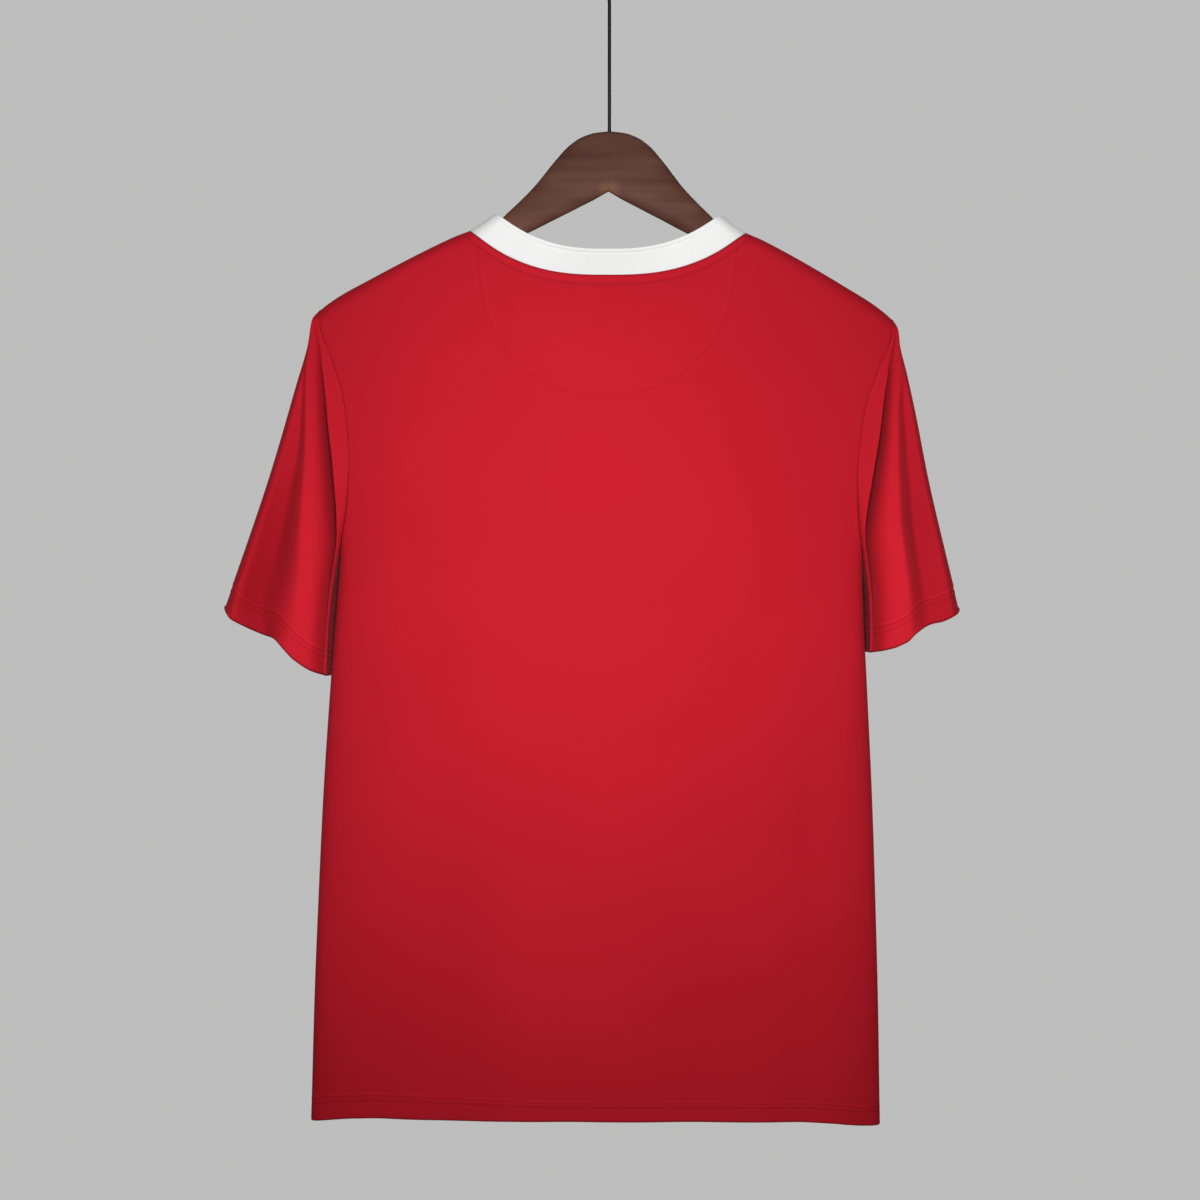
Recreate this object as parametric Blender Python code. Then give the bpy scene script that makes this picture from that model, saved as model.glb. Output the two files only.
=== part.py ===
"""A short-sleeved football jersey hanging on a contoured wooden hanger.

Blender 4.5, metres, +Z up. The jersey's back faces -Y and its front faces +Y. The origin is the inside of the hook's
crown, where a rail carries it. Sizes below are in millimetres and are turned into metres as each mesh is made.
"""

import math

import bmesh
import bpy
import numpy as np

MM = 0.001

# The cloth and its seams.
WALL = 1.2  # body and sleeve cloth, drawn a little thicker than the knit
COLLAR_WALL = 1.9  # the neckband is two layers of cloth
MOON_WALL = 1.0
SEAM_GAP = 0.9  # between two panels at a seam, on the outside
EASE = 0.9  # between the sleeve and the armhole that it is sewn into
TIP_EASE = 1.8  # the same at the shoulder's tip
UNDERARM_OUT = {"back": 5.0, "front": 1.8}  # how far the sleeve's inner side stands off the body
WELD = 0.001  # two points nearer than this are one
ON_PANEL = 0.7  # between the half moon and the panel that it lies on

# The body, seen from behind.
NECK_HALF = 110.0  # from the centre to a neck point, at the neckband's outer seam
NECK_Z = -231.0
TIP_X = 229.0  # where the shoulder seam ends at the armhole
TIP_Z = -300.0
PIT_Z = -498.0  # the bottom of the armhole
HEM_Z = -943.0
SWEEP_AT = 220.0  # the hanger's sweep is stated at this distance from the centre
SHOULDER_ROUND = 14.0  # how far below the shoulder seam the cloth has turned to hang straight
OVER_ARM = 5.2  # from the hanger's arm to the outside of the cloth in front of it and behind it
SIDE_POWER = 3.6  # the section's squareness: 2 is an ellipse
BACK_DROP, BACK_CURVE = 36.0, 2.6  # the back neckline's depth, and how square it is
FRONT_DROP, FRONT_CURVE = 98.0, 2.5

# The neckband.
BAND_HALF = 90.0  # from the centre to the band's top edge at the side
BAND_TOP_Z = -215.8
BAND_RISE = 22.4  # how much higher the band's top edge is than its seam at the back's centre
BAND_LEAN = 10.0  # how far its top edge leans in there
BAND_RISE_FRONT, BAND_LEAN_FRONT = 20.0, 7.0
BAND_RISE_CURVE = 2.8  # how late along the neckline the band's height changes to that at its ends
BAND_START = 0.05  # the share of its width that is left open at its seam

# The half moon.
MOON_HALF, MOON_LOW_Z, MOON_SIDE_Z = 101.0, -362.0, -248.0
MOON_CURVE = 2.2  # 2 is half an ellipse
MOON_BELOW_SEAM = 3.0

# The hanger and its wire.
HANGER_POWER = 2.7  # its section's squareness
WIRE = 2.8
CROOK_RADIUS = 20.0  # to the wire's centre line
HOOK_BEND = 70.0  # degrees that the wire turns through between its straight and its crook
HOOK_TIP = -25.0  # where the crook ends, in degrees below level
HOOK_IN_WOOD = 12.0
HOOK_CLEARANCE = 0.3


def table(columns, *rows):
    """Named columns of numbers, each an array."""
    return dict(zip(columns.split(), np.array(rows, float).T))


SHOULDER = table("x z", (0, -166), (60, -203), (110, -231), (150, -252.5), (190, -275), (215, -289.5), (229, -300),
                 (240, -312))

# Half the body's width where it is widest. Above the armpit it is the width that the section would have without its
# sleeves, so the armhole seam lies on it.
WIDTH = table("z half", (-943, 226), (-845, 224), (-765, 221.5), (-685, 218.5), (-590, 213.5), (-525, 209.5),
              (-498, 208.5), (-484, 210), (-455, 219), (-424, 231), (-390, 245), (-350, 262), (-300, 288))

# Half the body's depth, and how far its sides are swept towards the front.
DEPTH = table("z half sweep", (-943, 27, 12), (-845, 28, 13), (-700, 30, 16), (-560, 31, 21), (-450, 29, 25),
              (-300, 26, 28), (-150, 26, 28))

ARMHOLE = table("z x", (-498, 208.5), (-482, 206.8), (-455, 203), (-424, 201.5), (-390, 204), (-366, 208.5),
                (-348, 215), (-337, 219.5), (-322, 226), (-314, 228), (-300, 229))

# The hanger's outline from its centre to an arm's end.
HANGER = table("x top bottom half", (0, -150, -198, 7), (12, -151.5, -205, 7), (22, -155, -210.2, 7),
               (32, -162, -215.4, 7.1), (43, -174.4, -221, 7.2), (58, -193.6, -228.8, 7.5), (70, -206.4, -234.5, 7.9),
               (80, -216, -239, 7.5), (90, -226, -242, 8.2), (110, -237.5, -252, 8.8), (150, -257, -273, 10.4),
               (190, -280, -296, 11.4), (214, -294.5, -309, 11.6), (221, -300, -307, 7.5))

# Long soft troughs in the body: where each starts and ends, its depth at both ends and its half width.
BODY_TROUGHS = {
    "back": table("x0 z0 x1 z1 depth0 depth1 width", (-150, -300, -110, -930, 0.6, 3.0, 26),
                  (-60, -420, -20, -943, 0.0, 2.2, 24), (95, -380, 75, -943, 0.3, 2.6, 28),
                  (180, -330, 165, -900, 0.8, 2.4, 20)),
    "front": table("x0 z0 x1 z1 depth0 depth1 width", (-165, -300, -120, -930, 1.0, 5.0, 24),
                   (-45, -400, -60, -943, 0.5, 4.0, 22), (40, -380, 20, -943, 0.5, 4.5, 26),
                   (150, -300, 120, -930, 1.0, 5.5, 26)),
}

# Each sleeve, in sizes measured outwards from the centre: its outer line from the shoulder to the hem's outer corner,
# the hem's inner corner, and its folds. A fold's place is a share of the way from the outer line to the seam, stated
# at some shares of the way down. A positive depth is a trough, and a negative one a ridge.
SLEEVES = {
    "left": {
        "outer": table("z x", (-536, 299.3), (-489, 284.2), (-425, 264.6), (-361, 246.2), (-329, 237.3),
                       (-310, 234.3), (-300, 229)),
        "inner_corner": (217.5, -588.5),
        "front_corner_x": 213.2,
        "hem_y": {"back": -15.0, "outer": 24.0, "front": 60.0, "inner_back": 9.0, "inner_front": 37.0},
        "hem_wave": table("at drop", (0, 0), (0.1, 4), (0.22, 3), (0.4, 0), (0.52, -3), (0.62, -1), (0.72, 2),
                          (0.82, 2.5), (1, 0)),
        "back": {
            "deep": table("down at depth width", (0, 0.3, 0, 0.16), (0.12, 0.36, 5, 0.16), (0.25, 0.48, 11, 0.13),
                          (0.44, 0.71, 17, 0.10), (0.64, 0.92, 16, 0.085), (1, 0.97, 6, 0.07)),
            "ridge": table("down at depth width", (0, 0.05, 0, 0.1), (0.12, 0.08, -1, 0.1), (0.25, 0.28, -4, 0.11),
                           (0.44, 0.45, -7, 0.13), (0.66, 0.61, -9, 0.14), (0.82, 0.69, -9, 0.15), (1, 0.62, -8, 0.15)),
            "hollow": table("down at depth width", (0, 0, 0, 0.1), (0.2, 0.14, 1, 0.08), (0.44, 0.25, 6, 0.12),
                            (0.66, 0.3, 12, 0.15), (0.85, 0.33, 16, 0.17), (1, 0.37, 13, 0.17)),
        },
        "front": {
            "deep": table("down at depth width", (0, 0.3, 0, 0.16), (0.25, 0.5, 6, 0.13), (0.5, 0.76, 12, 0.1),
                          (0.7, 0.93, 11, 0.085), (1, 0.97, 5, 0.07)),
            "ridge": table("down at depth width", (0, 0.1, 0, 0.1), (0.3, 0.36, -4, 0.13), (0.6, 0.58, -8, 0.15),
                           (1, 0.7, -8, 0.16)),
            "hollow": table("down at depth width", (0, 0, 0, 0.1), (0.4, 0.2, 5, 0.12), (0.7, 0.34, 11, 0.15),
                            (1, 0.42, 12, 0.17)),
        },
    },
    "right": {
        "outer": table("z x", (-525, 286), (-481, 274.4), (-422, 259.4), (-378, 249.4), (-341, 240), (-322, 234.6),
                       (-311, 233), (-300, 229)),
        "inner_corner": (215.5, -563.0),
        "front_corner_x": 211.6,
        "hem_y": {"back": -15.0, "outer": 24.0, "front": 60.0, "inner_back": 9.0, "inner_front": 37.0},
        "hem_wave": table("at drop", (0, 0), (0.06, 2.6), (0.2, 2.6), (0.38, 0), (0.55, 2), (0.64, 4.5), (0.74, 4.4),
                          (0.84, 3), (1, 0)),
        "back": {
            "deep": table("down at depth width", (0, 0.3, 0, 0.16), (0.12, 0.36, 5, 0.16), (0.25, 0.5, 12, 0.14),
                          (0.44, 0.71, 18, 0.12), (0.64, 0.93, 16, 0.10), (1, 0.97, 6, 0.08)),
            "ridge": table("down at depth width", (0, 0.05, 0, 0.1), (0.12, 0.1, -1, 0.1), (0.25, 0.3, -4, 0.12),
                           (0.44, 0.47, -8, 0.14), (0.66, 0.58, -11, 0.16), (0.82, 0.6, -12, 0.16), (1, 0.6, -10, 0.16)),
            "hollow": table("down at depth width", (0, 0, 0, 0.1), (0.25, 0.16, 1, 0.1), (0.5, 0.25, 5, 0.12),
                            (0.7, 0.3, 9, 0.14), (0.85, 0.3, 11, 0.14), (1, 0.36, 8, 0.15)),
        },
        "front": {
            "deep": table("down at depth width", (0, 0.3, 0, 0.16), (0.25, 0.5, 6, 0.13), (0.5, 0.78, 12, 0.1),
                          (0.7, 0.94, 10, 0.085), (1, 0.97, 5, 0.07)),
            "ridge": table("down at depth width", (0, 0.1, 0, 0.1), (0.3, 0.4, -3, 0.13), (0.6, 0.62, -7, 0.15),
                           (1, 0.66, -9, 0.16)),
            "hollow": table("down at depth width", (0, 0, 0, 0.1), (0.4, 0.24, 5, 0.13), (0.7, 0.36, 9, 0.15),
                            (1, 0.38, 12, 0.17)),
        },
    },
}

# How finely the meshes are cut.
ROUND_STEPS = 4  # over the shoulder
ARMHOLE_STEPS = 9  # from there to the armpit
BODY_STEPS = 11  # from the armpit to the hem
NECK_STEPS = 8  # from the centre to the neck point
SHOULDER_STEPS = 4  # along the shoulder seam
UNDERARM_STEPS = 3  # of the armhole's steps, those that pass under the arm
CUFF_STEPS = 7  # from the armpit to the sleeve's hem
SLEEVE_COLUMNS = 14  # from the outer line to the seam
FINE_STEPS = 140  # across a sleeve's section before its columns are spaced
HANGER_POINTS = 14  # round the hanger's section
BAND_COLUMNS = 3  # across the neckband
MOON_ROWS, MOON_COLUMNS = 6, 16

# How the hung jersey has settled: to the left of the hook, down at its right end, wider, up along the outer
# shoulders, and up in the middle of its hem.
ASIDE = table("z x", (-943, -11.2), (-780, -10.1), (-590, -8.4), (-424, -5.1), (-231, -1.3), (-150, 0))
RIGHT_DROP = 3.8
SPREAD = 1.011
SHOULDER_UP = table("x up", (0, 0), (80, 0.4), (110, 1.4), (122, 3.2), (150, 4.6), (190, 6), (229, 6.8), (330, 6.8))
SHOULDER_UP_TO = (-450, 130)  # the height where it starts, and over what height it grows
HEM_CURVE = table("x up", (-240, -3.5), (-226, -2.5), (-215, -0.6), (-204, 1.4), (-190, 3.2), (-165, 4.8), (-110, 4.9),
                  (-60, 5.6), (150, 5.7), (185, 4.4), (205, 2.6), (222, 1.6), (240, 1.4))
HEM_CURVE_FROM = (-820, 110)


def through(places, values, at):
    """A smooth curve through points that doesn't swing past them (a monotone cubic)."""
    order = np.argsort(places)
    places, values, at = places[order], values[order], np.asarray(at, float)
    step = np.diff(places)
    slope = np.diff(values) / step
    lean = np.concatenate([slope[:1], np.zeros(len(slope) - 1), slope[-1:]])
    same = slope[:-1] * slope[1:] > 0
    lean[1:-1][same] = 2 * slope[:-1][same] * slope[1:][same] / (slope[:-1] + slope[1:])[same]
    i = np.clip(np.searchsorted(places, at) - 1, 0, len(step) - 1)
    t = np.clip((at - places[i]) / step[i], 0, 1)
    return (values[i] * (1 + 2 * t) * (1 - t) ** 2 + values[i + 1] * t * t * (3 - 2 * t)
            + step[i] * (lean[i] * t * (1 - t) ** 2 - lean[i + 1] * t * t * (1 - t)))


def mix(a, b, share):
    return a + (b - a) * share


def ease(share):
    """From 0 to 1 with a level start and end."""
    share = np.clip(share, 0, 1)
    return share * share * (3 - 2 * share)


def quarter(share):
    """The height of a quarter circle, from 0 at its foot to 1 at its top."""
    return np.sqrt(np.maximum(0, 1 - (1 - np.clip(share, 0, 1)) ** 2))


# The body's surface.


def shoulder_z(x):
    return through(SHOULDER["x"], SHOULDER["z"], np.abs(x))


def sweep_y(x, z):
    """The middle of the body's depth, which follows the hanger's arms."""
    return through(DEPTH["z"], DEPTH["sweep"], z) * (x / SWEEP_AT) ** 2


def arm_half(x):
    return through(HANGER["x"], HANGER["half"], np.minimum(np.abs(x), 200))


def half_depth(x, z):
    """Half the body's depth at a place in the back view."""
    below = shoulder_z(x) - z
    hung = through(DEPTH["z"], DEPTH["half"], z)
    full = mix(arm_half(x) + OVER_ARM, hung, ease(below / 210))
    side = np.clip(np.abs(x) / through(WIDTH["z"], WIDTH["half"], z), 0, 1)
    return full * quarter(below / SHOULDER_ROUND) * (1 - side**SIDE_POWER) ** (1 / SIDE_POWER)


def trough(rows, x, z):
    """How deep the long soft troughs are at a place."""
    deep = np.zeros(np.broadcast(x, z).shape)
    for x0, z0, x1, z1, depth0, depth1, width in zip(*rows.values()):
        down = (z0 - z) / (z0 - z1)
        away = x - mix(x0, x1, down)
        deep += mix(depth0, depth1, np.clip(down, 0, 1)) * ease(down * 4) * np.exp(-((away / width) ** 2))
    return deep


def body_y(x, z, face):
    """The outside of the cloth. The face is -1 for the back and 1 for the front."""
    out = half_depth(x, z)
    soft = trough(BODY_TROUGHS["back" if face < 0 else "front"], x, z) * np.clip(out / 20, 0, 1)
    return sweep_y(x, z) + face * (out + SEAM_GAP / 2 - soft)


def inside_body(x, z, face, depth):
    """Points under the outside of the cloth, moved in square to it."""
    y = body_y(x, z, face)
    lean_x, lean_z = body_y(x + 1, z, face) - y, body_y(x, z + 1, face) - y
    inwards = face * np.stack([lean_x, -np.ones_like(y), lean_z], -1)
    return np.stack([x, y, z], -1) + depth * inwards / np.linalg.norm(inwards, axis=-1, keepdims=True)


def neckline_z(x, face):
    drop, curve = (BACK_DROP, BACK_CURVE) if face < 0 else (FRONT_DROP, FRONT_CURVE)
    return NECK_Z - drop * (1 - np.clip(np.abs(x) / NECK_HALF, 0, 1) ** curve)


def armhole_z():
    """The heights that the armhole seam is cut at, from the shoulder's tip to the armpit."""
    turn = np.linspace(0, math.pi / 2, ROUND_STEPS + 1)
    top = TIP_Z - SHOULDER_ROUND * (1 - np.cos(turn))
    down = np.sin(np.linspace(0, math.pi / 2, ARMHOLE_STEPS + 1))[1:]
    return np.concatenate([top, mix(top[-1], PIT_Z, down)])


def neck_columns():
    """Shares of the neck's half width, closer together near the neck point."""
    return np.sin(np.linspace(0, math.pi / 2, NECK_STEPS + 1)) ** 1.15


def panel_grid(face):
    """Points over a body panel, by row from its top edge to its hem and by column from left to right."""
    seam_z = armhole_z()
    low_z = np.linspace(PIT_Z, HEM_Z, BODY_STEPS + 1)[1:]
    edge_z = np.concatenate([seam_z, low_z])
    edge_x = np.concatenate([through(ARMHOLE["z"], ARMHOLE["x"], seam_z), through(WIDTH["z"], WIDTH["half"], low_z)])
    top_x = np.concatenate([NECK_HALF * neck_columns(), np.linspace(NECK_HALF, TIP_X, SHOULDER_STEPS + 1)[1:]])
    top_z = np.where(top_x < NECK_HALF, neckline_z(top_x, face), shoulder_z(top_x))
    low_share = np.sin(np.linspace(0, math.pi / 2, len(top_x))) ** 0.8
    down = np.clip((TIP_Z - edge_z) / (TIP_Z - PIT_Z), 0, 1)[:, None]
    x = edge_x[:, None] * mix(top_x / TIP_X, low_share, ease(down))
    z = edge_z[:, None] + (top_z - TIP_Z) * (1 - down)
    x, z = np.hstack([-x[:, :0:-1], x]), np.hstack([z[:, :0:-1], z])
    return np.stack([x, body_y(x, z, face), z], -1)


# The sleeves.


def fold_depth(folds, at, down):
    """How far the folds push the cloth in, at shares of the way across and down."""
    pushed = np.zeros(np.broadcast(at, down).shape)
    for fold in folds.values():
        place, depth, width = (through(fold["down"], fold[k], down) for k in ("at", "depth", "width"))
        away = (at - place) / width
        pushed += depth * np.exp(-np.where((depth > 0) & (away > 0), 2.2, 1.0) * away**2)
    return pushed


def armhole_points(face):
    """The armhole seam on one face, from the shoulder's tip to the armpit, with the sleeve's ease."""
    z = armhole_z()
    x = through(ARMHOLE["z"], ARMHOLE["x"], z)
    seam = np.stack([x + EASE, body_y(x, z, face), z], -1)
    seam[0] = tip_point()
    return seam


def tip_point():
    """Where the sleeve starts at the shoulder seam's end, in a point."""
    return np.array([TIP_X + TIP_EASE, sweep_y(TIP_X, TIP_Z), TIP_Z])


def evenly(rows, count):
    """Each row's points moved along its own line, so that they are evenly apart."""
    share = np.linspace(0, 1, count)
    spaced = []
    for row in rows:
        run = np.concatenate([[0], np.cumsum(np.linalg.norm(np.diff(row, axis=0), axis=1))])
        run = run / run[-1] if run[-1] > 0 else np.linspace(0, 1, len(row))
        spaced.append(np.stack([np.interp(share, run, row[:, axis]) for axis in range(3)], -1))
    return np.array(spaced)


def hang(top, hem, out):
    """From the armhole's bottom to the sleeve's hem, standing off the body's side a little."""
    share = np.linspace(0, 1, CUFF_STEPS + 1).reshape([-1] + [1] * np.ndim(top))
    return mix(top, hem, share) + quarter(share / 0.3) * (1 - share) * np.asarray(out)[..., None] * np.array([1, 0, 0])


def sleeve_half(form, name, face):
    """One face of a sleeve, by row from the shoulder's tip to the hem and by column from the outer line to the seam."""
    seam = armhole_points(face)[: -UNDERARM_STEPS]
    corner_x, corner_z = form["inner_corner"]
    hem = form["hem_y"]
    corner = np.array([corner_x if face < 0 else form["front_corner_x"], hem["inner_" + name], corner_z])
    cuff = hang(seam[-1], corner, UNDERARM_OUT[name])[1:]
    inner = np.vstack([seam, cuff])
    down = (TIP_Z - inner[:, 2]) / (TIP_Z - corner_z)
    outer_z = mix(TIP_Z, form["outer"]["z"][0], down)
    outer_x = through(form["outer"]["z"], form["outer"]["x"], outer_z) + TIP_EASE * (1 - down)
    outer_y = mix(tip_point()[1], hem["outer"], down)
    past = np.clip((down - down[len(seam) - 1]) / (1 - down[len(seam) - 1]), 0, 1)
    flat_y = mix(np.where(past > 0, seam[-1, 1], inner[:, 1]), hem[name], ease(past))
    at = np.linspace(0, 1, FINE_STEPS + 1)[None, :]
    down = down[:, None]
    x = mix(outer_x[:, None], inner[:, :1], at)
    z = mix(outer_z[:, None], inner[:, 2:], at) - through(form["hem_wave"]["at"], form["hem_wave"]["drop"], at) * down**4
    y = mix(outer_y[:, None], flat_y[:, None], quarter(at / 0.25)) * np.ones_like(x)
    y = y + (inner[:, 1:2] - flat_y[:, None]) * (1 - quarter((1 - at) / 0.14))
    y = y - face * fold_depth(form[name], at, down) * quarter(at / 0.2) * ease((1 - at) / 0.13)
    return evenly(np.stack([x, y, z], -1), SLEEVE_COLUMNS + 1)


def underarm(form):
    """The sleeve's inner wall, from the armhole's bottom to the hem and by column from the back to the front."""
    back, front = (armhole_points(face)[-UNDERARM_STEPS - 1 :] for face in (-1, 1))
    top = np.vstack([back[:-1], [(back[-1] + front[-1]) / 2], front[-2::-1]])
    top[1:-1, 0] += EASE
    corner_x, corner_z = form["inner_corner"]
    across = np.linspace(0, 1, len(top))
    hem_y = mix(form["hem_y"]["inner_back"], form["hem_y"]["inner_front"], across)
    hem_x = mix(corner_x, form["front_corner_x"], across)
    hem = np.stack([hem_x, hem_y, np.full(len(top), corner_z)], -1)
    return hang(top, hem, mix(UNDERARM_OUT["back"], UNDERARM_OUT["front"], across))


# Meshes.


def settle(points):
    """Where the hung jersey really is."""
    points = np.array(points, float)
    x, z = points[..., 0].copy(), points[..., 2].copy()
    (start, over), (hem_start, hem_over) = SHOULDER_UP_TO, HEM_CURVE_FROM
    points[..., 2] += through(SHOULDER_UP["x"], SHOULDER_UP["up"], np.abs(x)) * ease((z - start) / over)
    points[..., 2] += through(HEM_CURVE["x"], HEM_CURVE["up"], x) * ease((hem_start - z) / hem_over)
    points[..., 2] -= RIGHT_DROP * x * np.abs(x) / TIP_X**2
    points[..., 0] = SPREAD * x + through(ASIDE["z"], ASIDE["x"], z)
    return points


def add_grid(builder, points, flip=False, ring=False):
    """Adds rows and columns of points with the faces between them. A ring's last column meets its first."""
    rows = [[builder.verts.new(point * MM) for point in row] for row in settle(points)]
    if ring:
        rows = [[*row, row[0]] for row in rows]
    for upper, lower in zip(rows, rows[1:]):
        for left, right, low_left, low_right in zip(upper, upper[1:], lower, lower[1:]):
            corners = (left, right, low_right, low_left)
            builder.faces.new(corners[::-1] if flip else corners)
    return rows


def add_object(name, builder, material):
    mesh = bpy.data.meshes.new(name)
    bmesh.ops.remove_doubles(builder, verts=builder.verts, dist=WELD * MM)
    builder.to_mesh(mesh)
    builder.free()
    mesh.materials.append(material)
    mesh.shade_smooth()
    obj = bpy.data.objects.new(name, mesh)
    bpy.context.scene.collection.objects.link(obj)
    return obj


def add_wall(obj, thickness):
    """Gives a sheet its thickness, inwards from its outer surface."""
    solid = obj.modifiers.new("wall", "SOLIDIFY")
    solid.thickness = thickness * MM
    solid.offset = -1


def make_material(name, colour, roughness, metallic=0.0):
    material = bpy.data.materials.new(name)
    material.use_nodes = True
    shader = material.node_tree.nodes["Principled BSDF"]
    shader.inputs["Base Color"].default_value = (*colour, 1)
    shader.inputs["Roughness"].default_value = roughness
    shader.inputs["Metallic"].default_value = metallic
    material.diffuse_color = (*colour, 1)
    return material


# The pieces.


def add_panel(name, face, material):
    builder = bmesh.new()
    add_grid(builder, panel_grid(face), flip=face < 0)
    add_wall(add_object(name, builder, material), WALL)


def add_sleeve(side, sign, material):
    """The sign is -1 for the sleeve on the left and 1 for the one on the right."""
    form = SLEEVES[side]
    outwards = np.array([sign, 1, 1])
    builder = bmesh.new()
    add_grid(builder, sleeve_half(form, "back", -1) * outwards, flip=sign < 0)
    add_grid(builder, sleeve_half(form, "front", 1) * outwards, flip=sign > 0)
    add_grid(builder, underarm(form) * outwards, flip=sign < 0)
    add_wall(add_object("sleeve_" + side, builder, material), WALL)


def band_half(face):
    """Half of the neckband, from its left end to its right, by row from its top edge to its seam."""
    share = neck_columns()
    share = np.concatenate([-share[:0:-1], share])
    end = np.abs(share)
    rise, lean = (BAND_RISE, BAND_LEAN) if face < 0 else (BAND_RISE_FRONT, BAND_LEAN_FRONT)
    seam_z = neckline_z(NECK_HALF * share, face)
    seam_y = body_y(NECK_HALF * share, seam_z, face)
    seam_y[[0, -1]] = sweep_y(NECK_HALF, NECK_Z)
    seam = np.stack([NECK_HALF * share, seam_y, seam_z], -1)
    top = np.stack([BAND_HALF * share, seam_y - face * lean * (1 - end**2) ** 1.5,
                    seam_z + mix(rise, BAND_TOP_Z - NECK_Z, end**BAND_RISE_CURVE)], -1)
    seam = mix(seam, top, BAND_START)
    return mix(top[None], seam[None], np.linspace(0, 1, BAND_COLUMNS + 1)[:, None, None])


def add_collar(material):
    builder = bmesh.new()
    ring = np.concatenate([band_half(-1)[:, :-1], band_half(1)[:, :0:-1]], 1)
    add_grid(builder, ring, flip=True, ring=True)
    add_wall(add_object("collar", builder, material), COLLAR_WALL)


def add_half_moon(material):
    """It lies on the inside of the back panel, and takes its shape from it."""
    x = MOON_HALF * np.sin(np.linspace(-math.pi / 2, math.pi / 2, MOON_COLUMNS + 1))
    low = MOON_SIDE_Z - (MOON_SIDE_Z - MOON_LOW_Z) * (1 - (np.abs(x) / MOON_HALF) ** MOON_CURVE) ** (1 / MOON_CURVE)
    top = neckline_z(x, -1) - MOON_BELOW_SEAM
    z = mix(top[None], low[None], np.linspace(0, 1, MOON_ROWS + 1)[:, None])
    builder = bmesh.new()
    add_grid(builder, inside_body(np.broadcast_to(x, z.shape), z, -1, WALL + ON_PANEL), flip=True)
    add_wall(add_object("half_moon", builder, material), MOON_WALL)


def add_hanger(material):
    """Upright sections across the wood, from one arm's end to the other's."""
    x = np.concatenate([-HANGER["x"][:0:-1], HANGER["x"]])
    top, bottom, half = (through(HANGER["x"], HANGER[name], np.abs(x)) for name in ("top", "bottom", "half"))
    turn = np.linspace(0, 2 * math.pi, HANGER_POINTS, endpoint=False)
    across, up = (np.sign(f(turn)) * np.abs(f(turn)) ** (2 / HANGER_POWER) for f in (np.sin, np.cos))
    middle, tall = (top + bottom) / 2, (top - bottom) / 2
    y = sweep_y(x, TIP_Z)[:, None] + half[:, None] * across
    z = middle[:, None] + tall[:, None] * up
    builder = bmesh.new()
    rows = add_grid(builder, np.stack([np.broadcast_to(x[:, None], y.shape), y, z], -1), ring=True)
    builder.faces.new(rows[0][:-1])
    builder.faces.new(rows[-1][-2::-1])
    bmesh.ops.recalc_face_normals(builder, faces=builder.faces)
    hanger = add_object("hanger", builder, material)
    hanger.data.set_sharp_from_angle(angle=math.radians(40))
    drill = hanger.modifiers.new("hook_hole", "BOOLEAN")
    drill.operation = "DIFFERENCE"
    drill.object = hook_drill()


def hook_drill():
    """The hole that the wire is screwed into."""
    mesh = bpy.data.meshes.new("hook_drill")
    builder = bmesh.new()
    bmesh.ops.create_cone(builder, cap_ends=True, segments=12, radius1=(WIRE / 2 + HOOK_CLEARANCE) * MM,
                          radius2=(WIRE / 2 + HOOK_CLEARANCE) * MM, depth=2 * HOOK_IN_WOOD * MM)
    builder.to_mesh(mesh)
    builder.free()
    drill = bpy.data.objects.new("hook_drill", mesh)
    drill.location = (0, 0, HANGER["top"][0] * MM)
    drill.hide_render = True
    drill.display_type = "WIRE"
    bpy.context.scene.collection.objects.link(drill)
    return drill


def hook_route():
    """The wire's centre line in the XZ plane: up out of the wood, a bend to the left, and the crook over the origin."""
    centre_z = WIRE / 2 - CROOK_RADIUS
    turn = math.radians(HOOK_BEND)
    bend_x, bend_z = -CROOK_RADIUS * math.cos(turn), centre_z - CROOK_RADIUS * math.sin(turn)
    bend_radius = -bend_x / (1 - math.cos(turn))
    bend_start = bend_z - bend_radius * math.sin(turn)
    foot_z = HANGER["top"][0] - HOOK_IN_WOOD + HOOK_CLEARANCE
    route = [(0, foot_z), (0, mix(foot_z, bend_start, 0.5))]
    for angle in np.linspace(0, turn, 7):
        route.append((-bend_radius * (1 - math.cos(angle)), bend_start + bend_radius * math.sin(angle)))
    for angle in np.linspace(math.pi + turn, math.radians(HOOK_TIP), 31)[1:]:
        route.append((CROOK_RADIUS * math.cos(angle), centre_z + CROOK_RADIUS * math.sin(angle)))
    return route


def add_hook(material):
    route = hook_route()
    curve = bpy.data.curves.new("hook", "CURVE")
    curve.dimensions = "3D"
    curve.bevel_depth = WIRE / 2 * MM
    curve.bevel_resolution = 3
    curve.use_fill_caps = True
    spline = curve.splines.new("POLY")
    spline.points.add(len(route) - 1)
    for point, (x, z) in zip(spline.points, route):
        point.co = (x * MM, 0, z * MM, 1)
    curve.materials.append(material)
    bpy.context.scene.collection.objects.link(bpy.data.objects.new("hook", curve))


def main():
    for obj in list(bpy.data.objects):
        bpy.data.objects.remove(obj)
    red = make_material("red_polyester_knit", (0.56, 0.016, 0.032), 0.62)
    white = make_material("white_neckband_knit", (0.86, 0.86, 0.86), 0.8)
    wood = make_material("dark_brown_varnished_wood", (0.09, 0.035, 0.024), 0.42)
    steel = make_material("black_lacquered_steel", (0.02, 0.018, 0.018), 0.35, 1.0)
    add_panel("back_panel", -1, red)
    add_panel("front_panel", 1, red)
    add_sleeve("left", -1, red)
    add_sleeve("right", 1, red)
    add_collar(white)
    add_half_moon(red)
    add_hanger(wood)
    add_hook(steel)


main()
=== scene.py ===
import math

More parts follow.
